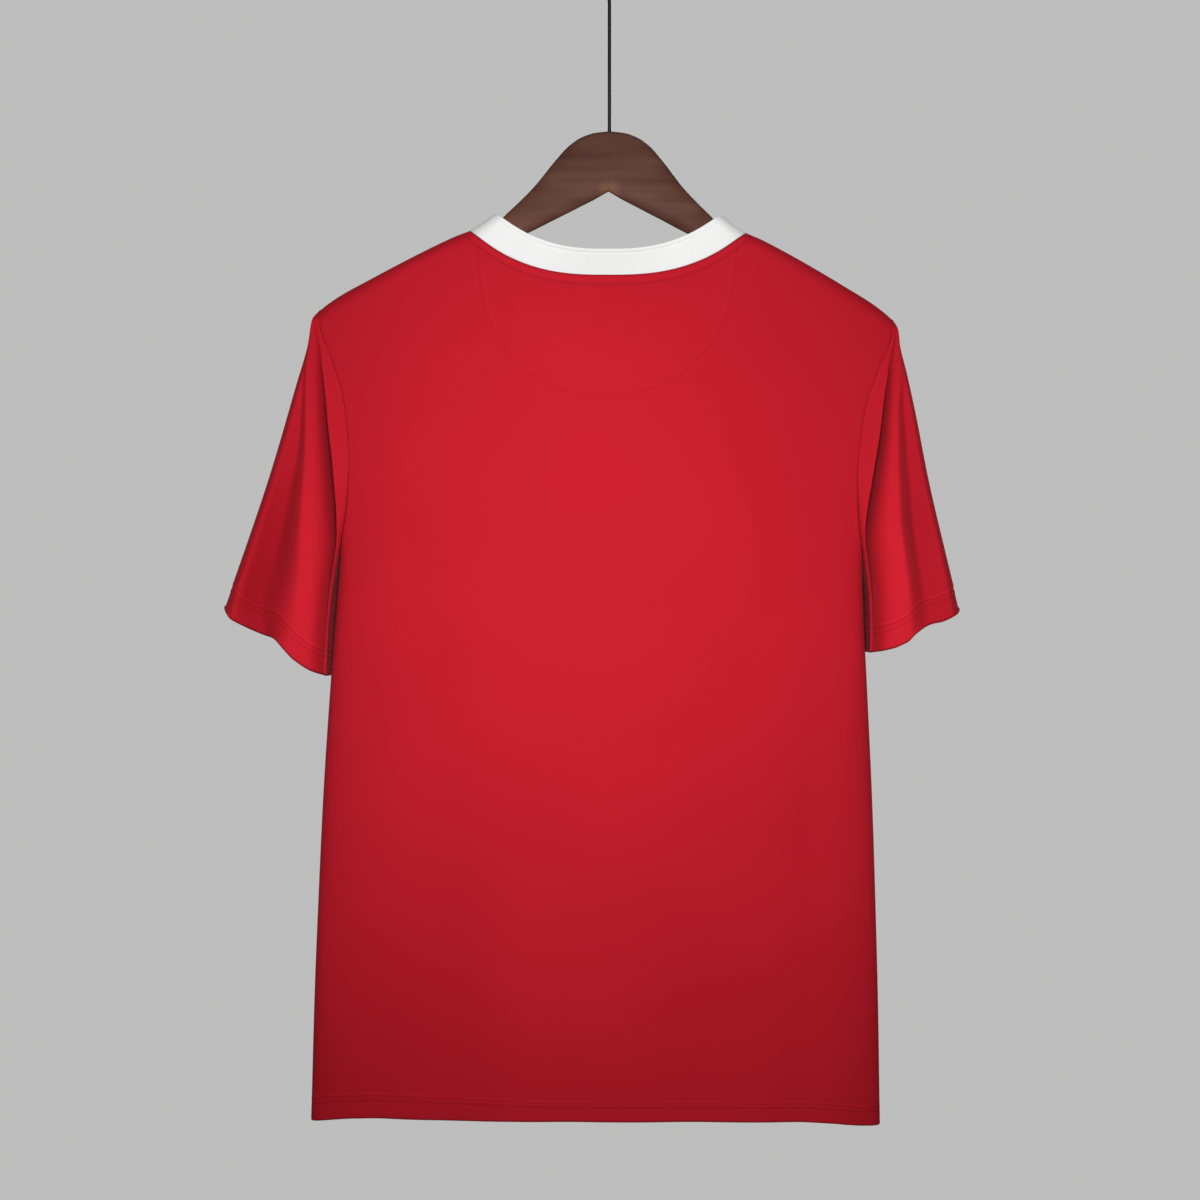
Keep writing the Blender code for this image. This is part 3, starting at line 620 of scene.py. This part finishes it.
def panelGrid(face):
    seamZ = armholeZ()
    hemTop = body["hemZ"] + body["hemRows"]
    lowZ = np.concatenate([np.linspace(body["pitZ"], hemTop, body["lowSteps"] + 1)[1:],
                           np.linspace(hemTop, body["hemZ"], body["hemSteps"] + 1)[1:]])
    edgeZ = np.concatenate([seamZ, lowZ])
    edgeX = np.concatenate([curveOf(body["armhole"], "x", seamZ),
                            curveOf(body["width"], "half", lowZ)])
    neck = np.sin(quarterTurn(body["neckSteps"])) ** body["neckSpacing"]
    along = np.sin(quarterTurn(body["shoulderSteps"]))[1:]
    topX = np.concatenate([body["neckHalf"] * neck, mix(body["neckHalf"], body["tipX"], along)])
    topZ = np.where(topX < body["neckHalf"], necklineZ(topX, face), shoulderZ(topX))
    lowShare = np.sin(quarterTurn(len(topX) - 1)) ** body["lowSpacing"]
    down = np.clip((body["tipZ"] - edgeZ) / (body["tipZ"] - body["pitZ"]), 0, 1)[:, None]
    x = edgeX[:, None] * mix(topX / body["tipX"], lowShare, ease(down))
    z = edgeZ[:, None] + (topZ - body["tipZ"]) * (1 - down)
    x, z = np.hstack([-x[:, :0:-1], x]), np.hstack([z[:, :0:-1], z])
    seam = np.abs(edgeX[:, None] - np.abs(x)) + np.where(edgeZ > body["pitZ"], 0, far)[:, None]
    y = bodyY(x, z, face) - face * body["seamDeep"] * bump(seam, body["seamHalf"])
    marks = {"hemUp": hemUp(x, z), "seamOff": np.minimum(belowNeck(x, z, face), far)}
    if face < 0:
        marks["moonOut"] = moonOut(x, z)
    return np.stack([x, y, z], -1), marks


# ---- the sleeves, measured outwards from the centre

# A fold's place is a share of the way from the sleeve's outer line to the armhole seam, stated at some shares
# of the way down. Its depth is in millimetres into the sleeve.

foldColumns = "down hollow ridge valley edge hollowIn ridgeIn valleyIn edgeIn"
sleeves = {
    "left": {
        "sign": -1,
        "outer": table("z x", (-536, 299.3), (-489, 284.2), (-425, 264.6), (-361, 246.2), (-329, 237.3),
                       (-310, 234.3), (-300, 229)),
        "innerCorner": (215.6, -588.5), "frontCornerX": 213.6,
        "hemWave": table("at drop", (0, 0), (0.1, 4), (0.22, 3), (0.4, 0), (0.52, -3), (0.62, -1),
                         (0.72, 2), (0.82, 2.5), (1, 0)),
        "folds": {
            -1: table(
                foldColumns, (0, 0.04, 0.1, 0.55, 0.66, 0, 0, 0, 0),
                (0.1, 0.06, 0.13, 0.56, 0.64, 0, -1, 2, 0), (0.18, 0.09, 0.18, 0.53, 0.6, 0, -2, 6, -0.5),
                (0.3, 0.2, 0.31, 0.585, 0.66, 1, -4, 12, -1),
                (0.45, 0.28, 0.43, 0.705, 0.79, 4, -7, 17, -1.5),
                (0.55, 0.28, 0.5, 0.81, 0.89, 7, -8.5, 17, -1),
                (0.65, 0.3, 0.58, 0.91, 0.97, 10, -9.5, 12, 0),
                (0.79, 0.31, 0.68, 0.955, 0.985, 14, -10, 8, 0),
                (0.9, 0.28, 0.7, 0.96, 0.985, 15, -9, 5, 0), (1, 0.38, 0.64, 0.96, 0.985, 12, -7, 4, 0),
            ),
            1: table(
                foldColumns, (0, 0.04, 0.1, 0.55, 0.66, 0, 0, 0, 0),
                (0.2, 0.12, 0.24, 0.5, 0.6, 0, -2, 4, 0), (0.4, 0.2, 0.42, 0.68, 0.77, 3, -5, 10, -1),
                (0.6, 0.28, 0.56, 0.86, 0.93, 7, -8, 12, 0), (0.8, 0.34, 0.66, 0.95, 0.98, 11, -8, 8, 0),
                (1, 0.42, 0.7, 0.96, 0.985, 12, -7, 4, 0),
            ),
        },
    },
    "right": {
        "sign": 1,
        "outer": table("z x", (-525, 286), (-481, 274.4), (-422, 259.4), (-378, 249.4), (-341, 240),
                       (-322, 234.6), (-311, 233), (-300, 229)),
        "innerCorner": (213.9, -563.0), "frontCornerX": 212.0,
        "hemWave": table("at drop", (0, 0), (0.06, 2.6), (0.2, 2.6), (0.38, 0), (0.55, 2), (0.64, 4.5),
                         (0.74, 4.4), (0.84, 3), (1, 0)),
        "folds": {
            -1: table(
                foldColumns, (0, 0.05, 0.12, 0.5, 0.66, 0, 0, 0, 0),
                (0.12, 0.08, 0.18, 0.49, 0.66, 0, -1, 3, 0), (0.2, 0.12, 0.28, 0.495, 0.62, 0, -2, 7, -0.5),
                (0.3, 0.22, 0.38, 0.545, 0.645, 1, -5, 12, -1),
                (0.4, 0.24, 0.425, 0.615, 0.71, 2, -8, 16, -1.5),
                (0.5, 0.265, 0.465, 0.715, 0.805, 3, -10, 17, -1.5),
                (0.58, 0.285, 0.5, 0.8, 0.895, 4.5, -11, 16, -1),
                (0.68, 0.33, 0.55, 0.885, 0.97, 6, -12, 12, 0),
                (0.84, 0.36, 0.585, 0.95, 0.985, 5, -12, 8, 0), (1, 0.36, 0.605, 0.96, 0.985, 3, -10, 4, 0),
            ),
            1: table(
                foldColumns, (0, 0.04, 0.1, 0.5, 0.62, 0, 0, 0, 0),
                (0.2, 0.14, 0.3, 0.52, 0.62, 0, -2, 4, 0), (0.4, 0.24, 0.46, 0.7, 0.79, 3, -4, 10, -1),
                (0.6, 0.3, 0.6, 0.87, 0.94, 6, -7, 11, 0), (0.8, 0.36, 0.64, 0.95, 0.98, 9, -9, 7, 0),
                (1, 0.38, 0.66, 0.96, 0.985, 11, -8, 4, 0),
            ),
        },
    },
}
sleeveShape = {
    "wall": 1.2, "ease": 0.2, "tipEase": 1.2, "underarmOut": {-1: 3.0, 1: 1.6}, "underarmSteps": 27,
    "cuffSteps": 96, "columns": 120, "fineSteps": 600, "outerRound": 0.14, "seamRound": 0.14,
    "hemDeep": 19.0, "hemLift": 0.45, "hemRound": 0.4, "rowsDeep": (0.4, 0.36),
    "hemY": {-1: -15.0, 0: 24.0, 1: 60.0, "innerBack": 9.0, "innerFront": 37.0},  # 0 is at the outer line
    "followSeam": (0, 0.04, 0.1, 0.2, 0.32, 0.44),  # how far down the flat keeps to the armhole's depth
    "foldsFrom": 0.2,  # the folds grow to their full depth over this share of the width
    "overhang": 0.72,  # how far the flap beside a valley hangs over it
    "turnUnder": 3.0,
    "underarmShadeDepth": 22.0,  # the strip under the arm gets the painted shade of a fold this deep
    "leastWidth": 20.0,  # a row narrower than this has no hem relief
}


def tipPoint():
    return np.array([body["tipX"] + sleeveShape["tipEase"], sweepY(body["tipX"], body["tipZ"]), body["tipZ"]])


def armholePoints(face):
    z = armholeZ()
    x = curveOf(body["armhole"], "x", z)
    seam = np.stack([x + sleeveShape["ease"], bodyY(x, z, face), z], -1)
    seam[0] = tipPoint()
    return seam


def foldDepth(folds, at, down):  # how far each place is pushed into the sleeve
    names = foldColumns.split()[1:]
    hollow, ridge, valley, edge, hollowIn, ridgeIn, valleyIn, edgeIn = (
        curveOf(folds, name, down)[:, None] for name in names)
    valley = mix(valley, edge, sleeveShape["overhang"])
    turning = np.clip((at - ridge) / (valley - ridge), 0, 1) ** sleeveShape["turnUnder"]
    rising = mix(hollowIn, ridgeIn, ease((at - hollow) / (ridge - hollow)))
    pushed = np.where(at < hollow, hollowIn * ease(at / hollow), rising)
    pushed = np.where(at > ridge, mix(ridgeIn, valleyIn, turning), pushed)
    pushed = np.where(at > valley, mix(valleyIn, edgeIn, ease((at - valley) / (edge - valley))), pushed)
    return np.where(at > edge, edgeIn * (1 - ease((at - edge) / (1 - edge))), pushed)


def evenly(rows, count):  # each row again, with its points at equal distances
    share = np.linspace(0, 1, count)
    spaced = []
    for row in rows:
        run = np.concatenate([[0], np.cumsum(np.linalg.norm(np.diff(row[:, :3], axis=0), axis=1))])
        run = run / run[-1] if run[-1] > 0 else np.linspace(0, 1, len(row))
        spaced.append(np.stack([np.interp(share, run, row[:, axis]) for axis in range(row.shape[1])], -1))
    return np.array(spaced)


def hang(top, hem, out):  # the sleeve's inner side hangs from the armhole and stands off the body a little
    share = np.linspace(0, 1, sleeveShape["cuffSteps"] + 1).reshape([-1] + [1] * np.ndim(top))
    return mix(top, hem, share) + np.sin(math.pi * share) * np.asarray(out)[..., None] * np.array([1, 0, 0])


def sleeveHalf(form, face):  # the back or front of a sleeve, each point with its depth in the folds
    seam = armholePoints(face)[: -sleeveShape["underarmSteps"]]
    cornerX, cornerZ = form["innerCorner"]
    hem = sleeveShape["hemY"]
    if face < 0:
        corner = np.array([cornerX, hem["innerBack"], cornerZ])
    else:
        corner = np.array([form["frontCornerX"], hem["innerFront"], cornerZ])
    inner = np.vstack([seam, hang(seam[-1], corner, sleeveShape["underarmOut"][face])[1:]])
    down = (body["tipZ"] - inner[:, 2]) / (body["tipZ"] - cornerZ)
    outerZ = mix(body["tipZ"], form["outer"]["z"][0], down)
    outerX = curveOf(form["outer"], "x", outerZ) + sleeveShape["tipEase"] * (1 - down)
    outerY = mix(tipPoint()[1], hem[0], down)
    kept = sleeveShape["followSeam"]
    flatY = through([*kept, 1], [*np.interp(kept, down, inner[:, 1]), hem[face]], down)
    at = np.linspace(0, 1, sleeveShape["fineSteps"] + 1)
    pushed = foldDepth(form["folds"][face], at, down)
    at, down = at[None, :], down[:, None]
    x = mix(outerX[:, None], inner[:, :1], at)
    wave = curveOf(form["hemWave"], "drop", at)
    z = mix(outerZ[:, None], inner[:, 2:], at) - wave * down**4
    y = mix(outerY[:, None], flatY[:, None], quarter(at / sleeveShape["outerRound"])) * np.ones_like(x)
    y = y + (inner[:, 1:2] - flatY[:, None]) * (1 - quarter((1 - at) / sleeveShape["seamRound"]))
    pushed = pushed * quarter(at / sleeveShape["foldsFrom"])
    return evenly(np.stack([x, y - face * pushed, z, pushed], -1), sleeveShape["columns"] + 1)


def underarm(form):  # the strip under the arm, from the back's inner edge to the front's
    back, front = (armholePoints(face)[-sleeveShape["underarmSteps"] - 1 :] for face in (-1, 1))
    top = np.vstack([back[:-1], [(back[-1] + front[-1]) / 2], front[-2::-1]])
    top[1:-1, 0] += sleeveShape["ease"]
    cornerX, cornerZ = form["innerCorner"]
    across = np.linspace(0, 1, len(top))
    hem = sleeveShape["hemY"]
    hemY = mix(hem["innerBack"], hem["innerFront"], across)
    hemX = mix(cornerX, form["frontCornerX"], across)
    out = mix(sleeveShape["underarmOut"][-1], sleeveShape["underarmOut"][1], across)
    return hang(top, np.stack([hemX, hemY, np.full(len(top), cornerZ)], -1), out)


def sleeveHem(grid):  # height above the sleeve's hem, on the body hem's scale
    up = runs(grid[::-1], 0)[::-1]
    return up * hemAt["upperRow"] / sleeveShape["hemDeep"]


def sleeveGrids(form):
    turned = np.array([form["sign"], 1, 1])
    flips = (form["sign"] < 0, form["sign"] > 0, form["sign"] < 0)
    grids = []
    back, front = sleeveHalf(form, -1), sleeveHalf(form, 1)
    # the fold depths, which the red material turns into painted shade and highlight
    folds = (back[..., 3], front[..., 3], sleeveShape["underarmShadeDepth"])
    for points, flip, foldIn in zip((back[..., :3], front[..., :3], underarm(form)), flips, folds):
        points = points * turned
        up = sleeveHem(points)
        lift = np.where(runs(points, 1)[:, -1:] > sleeveShape["leastWidth"], hemRelief(up, sleeveShape), 0)
        lift[:, [0, -1]] = 0  # the outermost columns meet the next grid's
        points = points + outwards(points, flip) * lift[..., None]
        grids.append((points, flip, {"hemUp": up, "foldIn": foldIn}))
    return grids


# ---- the white neckband

band = {
    "half": 90.0, "topZ": -215.8, "rise": {-1: 22.4, 1: 20.0}, "riseCurve": 2.8,
    "lean": {-1: 10.0, 1: 7.0}, "leanCurve": 1.5, "start": 0.02, "wall": 1.9, "rimRound": 0.7,
    "swell": 0.35, "swellCurve": 0.6, "rows": 26, "steps": 96,
    "topRoll": (0.25, 2.2, 1.3), "topGroove": (0.3, 3.9, 0.9),  # height, distance from the top, half width
}


def bandHalf(face):
    share = np.sin(quarterTurn(band["steps"])) ** body["neckSpacing"]
    share = np.concatenate([-share[:0:-1], share])
    end = np.abs(share)
    seamZ = necklineZ(body["neckHalf"] * share, face)
    seamY = bodyY(body["neckHalf"] * share, seamZ, face, plain=True)
    seamY[[0, -1]] = sweepY(body["neckHalf"], body["neckZ"])
    seam = np.stack([body["neckHalf"] * share, seamY, seamZ], -1)
    lean = band["lean"][face] * (1 - end**2) ** band["leanCurve"]
    rise = mix(band["rise"][face], band["topZ"] - body["neckZ"], end ** band["riseCurve"])
    top = np.stack([band["half"] * share, seamY - face * lean, seamZ + rise], -1)
    seam = mix(seam, top, band["start"])
    return mix(top[None], seam[None], np.linspace(0, 1, band["rows"] + 1)[:, None, None])


def bandGrid():
    ring = np.concatenate([bandHalf(-1)[:, :-1], bandHalf(1)[:, ::-1]], 1)
    down = runs(ring, 0)
    wide = down[-1:]
    swell = band["swell"] * np.sin(math.pi * np.clip(down / wide, 0, 1)) ** band["swellCurve"]
    for sign, (height, at, half) in ((1, band["topRoll"]), (-1, band["topGroove"])):
        swell = swell + sign * height * bump(down - at, half)
    points = ring + outwards(ring, True) * swell[..., None]
    points[:, -1] = points[:, 0]
    return points, {"rimOff": wide - down}


def addMoon(material):
    x = moon["half"] * np.sin(np.linspace(-math.pi / 2, math.pi / 2, moon["across"] + 1))
    low = moon["sideZ"] - (moon["sideZ"] - moon["lowZ"]) * rounded(np.abs(x) / moon["half"], moon["curve"])
    top = necklineZ(x, -1) - moon["belowSeam"]
    z = mix(top[None], low[None], np.linspace(0, 1, moon["down"] + 1)[:, None])
    grid = insideBody(np.broadcast_to(x, z.shape), z, -1, body["wall"] + moon["onPanel"])
    piece = clothObject("halfMoonPatch", [(grid, True, {})], material)
    thicken(piece, moon["wall"])
    return piece


# ---- the hanger and its hook

def addHanger(material):
    outline = arm["outline"]
    ends = outline["x"][-1]
    x = ends * np.sin(np.linspace(-math.pi / 2, math.pi / 2, arm["sections"]))
    top, bottom, half = (curveOf(outline, key, np.abs(x)) for key in ("top", "bottom", "half"))
    close = quarter((ends - np.abs(x)) / arm["endRound"])
    turn = np.linspace(0, 2 * math.pi, arm["round"], endpoint=False)
    across, up = (np.sign(f(turn)) * np.abs(f(turn)) ** (2 / arm["power"]) for f in (np.sin, np.cos))
    middle, tall = (top + bottom) / 2, (top - bottom) / 2 * close
    y = sweepY(x, body["tipZ"])[:, None] + (half * close)[:, None] * across
    z = middle[:, None] + tall[:, None] * up
    grid = np.stack([np.broadcast_to(x[:, None], y.shape), y, z], -1)
    grid = np.concatenate([grid, grid[:, :1]], 1)
    piece = clothObject("woodenHanger", [(grid, False, {})], material, fields=())
    faceOutwards(piece)
    return piece


hook = {
    "wire": 2.8, "crook": 20.0, "inWood": 12.0, "woodTop": -150.0,
    "bend": 70.0, "tip": -25.0,  # degrees
    "shankPoints": 12, "bendSteps": 12, "crookSteps": 60, "domeSteps": 5, "round": 16,
}


def hookRoute():  # x and z along the wire, from inside the wood to the crook's open end
    centreZ = hook["wire"] / 2 - hook["crook"]
    turn = math.radians(hook["bend"])
    bendX, bendZ = -hook["crook"] * math.cos(turn), centreZ - hook["crook"] * math.sin(turn)
    bendRadius = -bendX / (1 - math.cos(turn))
    bendStart = bendZ - bendRadius * math.sin(turn)
    footZ = hook["woodTop"] - hook["inWood"]
    route = [(0, z) for z in np.linspace(footZ, bendStart, hook["shankPoints"])]
    for angle in np.linspace(0, turn, hook["bendSteps"] + 1)[1:]:
        route.append((-bendRadius * (1 - math.cos(angle)), bendStart + bendRadius * math.sin(angle)))
    for angle in np.linspace(math.pi + turn, math.radians(hook["tip"]), hook["crookSteps"] + 1)[1:]:
        route.append((hook["crook"] * math.cos(angle), centreZ + hook["crook"] * math.sin(angle)))
    return np.array(route)


def addHook(material):  # a round wire with a domed tip
    route = hookRoute()
    ahead = np.gradient(route, axis=0)
    ahead /= np.linalg.norm(ahead, axis=1, keepdims=True)
    radius = np.full(len(route), hook["wire"] / 2)
    dome = quarterTurn(hook["domeSteps"])[1:]
    tip, heading = route[-1], ahead[-1]
    extra = np.array([tip + heading * hook["wire"] / 2 * math.sin(a) for a in dome])
    route, ahead = np.vstack([route, extra]), np.vstack([ahead, np.repeat([heading], len(dome), 0)])
    radius = np.concatenate([radius, hook["wire"] / 2 * np.cos(dome)])
    turn = np.linspace(0, 2 * math.pi, hook["round"] + 1)
    side = np.stack([-ahead[:, 1], ahead[:, 0]], 1)
    x = route[:, :1] + radius[:, None] * side[:, :1] * np.cos(turn)
    z = route[:, 1:] + radius[:, None] * side[:, 1:] * np.cos(turn)
    y = radius[:, None] * np.sin(turn)
    grid = np.stack([x, y, z], -1)
    piece = clothObject("hookWire", [(grid, False, {})], material, fields=())
    faceOutwards(piece)
    return piece


# ---- stitches, by Geometry Nodes: beads of thread along each line of points

thread = {
    "pitch": 3.1, "length": 2.5, "thick": 0.4, "uneven": 0.12, "seed": 7,
    "colour": (0.47, 0.0125, 0.0235),
    "proud": 0.12,
    "linePoints": 181, "reach": 0.998, "hemHalf": 225.5,  # for the body hem's rows
    "beadSegments": 6, "beadRings": 4,
}


def stitchTree():
    tree = bpy.data.node_groups.new("stitchRuns", "GeometryNodeTree")
    tree.is_modifier = True
    for name, kind in (("Lines", "Geometry"), ("Pitch", "Float"), ("Length", "Float"), ("Thickness", "Float"),
                       ("Unevenness", "Float"), ("Seed", "Int"), ("Thread", "Material")):
        tree.interface.new_socket(name, in_out="INPUT", socket_type="NodeSocket" + kind)
    tree.interface.new_socket("Stitches", in_out="OUTPUT", socket_type="NodeSocketGeometry")
    new = tree.nodes.new
    given, result = new("NodeGroupInput").outputs, new("NodeGroupOutput")
    curve, spots = new("GeometryNodeMeshToCurve"), new("GeometryNodeCurveToPoints")
    spots.mode = "LENGTH"
    bead, place = new("GeometryNodeMeshUVSphere"), new("GeometryNodeInstanceOnPoints")
    bead.inputs["Segments"].default_value = thread["beadSegments"]
    bead.inputs["Rings"].default_value = thread["beadRings"]
    bead.inputs["Radius"].default_value = 0.5
    vary, size = new("FunctionNodeRandomValue"), new("ShaderNodeCombineXYZ")
    vary.data_type = "FLOAT"
    low, high, long = (new("ShaderNodeMath") for _ in range(3))
    low.operation, high.operation, long.operation = "SUBTRACT", "ADD", "MULTIPLY"
    low.inputs[0].default_value = high.inputs[0].default_value = 1.0
    real, paint = new("GeometryNodeRealizeInstances"), new("GeometryNodeSetMaterial")
    limits = [socket for socket in vary.inputs if socket.type == "VALUE" and socket.enabled]
    varied = [socket for socket in vary.outputs if socket.type == "VALUE" and socket.enabled]
    for giver, taker in (
        (given["Lines"], curve.inputs[0]),
        (curve.outputs[0], spots.inputs["Curve"]),
        (given["Pitch"], spots.inputs["Length"]),
        (spots.outputs["Points"], place.inputs["Points"]),
        (spots.outputs["Rotation"], place.inputs["Rotation"]),
        (bead.outputs["Mesh"], place.inputs["Instance"]),
        (given["Unevenness"], low.inputs[1]),
        (given["Unevenness"], high.inputs[1]),
        (low.outputs[0], limits[0]),
        (high.outputs[0], limits[1]),
        (given["Seed"], vary.inputs["Seed"]),
        (given["Length"], long.inputs[0]),
        (varied[0], long.inputs[1]),
        (given["Thickness"], size.inputs[0]),
        (given["Thickness"], size.inputs[1]),
        (long.outputs[0], size.inputs[2]),
        (size.outputs[0], place.inputs["Scale"]),
        (place.outputs[0], real.inputs[0]),
        (real.outputs[0], paint.inputs["Geometry"]),
        (given["Thread"], paint.inputs["Material"]),
        (paint.outputs[0], result.inputs[0]),
    ):
        tree.links.new(giver, taker)
    return tree


def addStitches(lines, material):
    points, edges = [], []
    for line in lines:
        edges += [(len(points) + i, len(points) + i + 1) for i in range(len(line) - 1)]
        points += (settle(line) * mm).tolist()
    mesh = bpy.data.meshes.new("stitchLines")
    mesh.from_pydata(points, edges, [])
    guide = addObject("stitchLines", mesh)
    tree = stitchTree()
    modifier = guide.modifiers.new("stitches", "NODES")
    modifier.node_group = tree
    wanted = {
        "Pitch": thread["pitch"] * mm, "Length": thread["length"] * mm, "Thickness": thread["thick"] * mm,
        "Unevenness": thread["uneven"], "Seed": thread["seed"], "Thread": material,
    }
    for socket in tree.interface.items_tree:
        if socket.item_type == "SOCKET" and socket.in_out == "INPUT" and socket.name in wanted:
            modifier[socket.identifier] = wanted[socket.name]
    graph = bpy.context.evaluated_depsgraph_get()
    made = bpy.data.meshes.new_from_object(guide.evaluated_get(graph))
    made.shade_smooth()
    bpy.data.objects.remove(guide)
    return addObject("hemStitching", made)


def threadMaterial():
    nodes = Nodes("redThread")
    where = nodes.coordinate()
    shade = nodes.noise(where, 700.0, 2.0)
    colour = nodes.times(thread["colour"], nodes.range(shade, 0.3, 0.7, 0.85, 1.05))
    nodes.set(Base_Color=colour, Roughness=0.5, Specular_IOR_Level=0.0)
    nodes.set(Normal=nodes.bump(nodes.noise(where, 2500.0, 2.0), 0.2, 0.0001))
    return nodes.material


def bodyHemLines():
    lines = []
    share = np.sin(np.linspace(-math.pi / 2, math.pi / 2, thread["linePoints"])) * thread["reach"]
    deep = curveOf(body["hemDeep"], "deep", share * thread["hemHalf"])
    for face in (-1, 1):
        for row in (hemAt["upperRow"], hemAt["lowerRow"]):
            z = body["hemZ"] + row * deep / hemAt["upperRow"]
            x = share * curveOf(body["width"], "half", z)
            lines.append(insideBody(x, z, face, -thread["proud"]))
    return lines


def sleeveHemLines(grids):
    lines = []
    for points, flip, marks in grids:
        up = marks["hemUp"][::-1]
        raised = (points + outwards(points, flip) * thread["proud"])[::-1]
        for row in (hemAt["upperRow"], hemAt["lowerRow"]):
            line = []
            for column in range(points.shape[1]):
                line.append([np.interp(row, up[:, column], raised[:, column, axis]) for axis in range(3)])
            lines.append(np.array(line))
    return lines


# ---- putting it together

addStudio()
print("studio ready")

red, white = redMaterial(), whiteMaterial()
panels = {}
for face, name, node in ((-1, "backCloth", "back_panel"), (1, "frontCloth", "front_panel")):
    grid, marks = panelGrid(face)
    panels[name] = clothObject(name, [(grid, face < 0, marks)], red, straight=True)
    thicken(panels[name], body["wall"])
    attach(panels[name], "root")
    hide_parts(node)
print("body panels ready")

sleeveGrid = {side: sleeveGrids(form) for side, form in sleeves.items()}
sleevePieces = {}
for side in sleeves:
    sleevePieces[side] = clothObject(side + "SleeveCloth", sleeveGrid[side], red)
    thicken(sleevePieces[side], sleeveShape["wall"])
    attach(sleevePieces[side], "root")
    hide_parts("sleeve_" + side)
print("sleeves ready")

grid, marks = bandGrid()
neckband = clothObject("neckband", [(grid, True, marks)], white, fields=("rimOff",))
thicken(neckband, band["wall"], band["rimRound"])
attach(neckband, "root")
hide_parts("collar")

halfMoon = addMoon(red)
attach(halfMoon, "root")
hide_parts("half_moon")
print("neckband and half moon ready")

hanger = addHanger(woodMaterial())
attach(hanger, "root")
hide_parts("hanger")

hookPiece = addHook(steelMaterial())
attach(hookPiece, "root")
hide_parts("hook")
print("hanger and hook ready")

hemLines = bodyHemLines()
for side in sleeves:
    hemLines += sleeveHemLines(sleeveGrid[side])
stitching = addStitches(hemLines, threadMaterial())
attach(stitching, "root")
print("stitches ready")
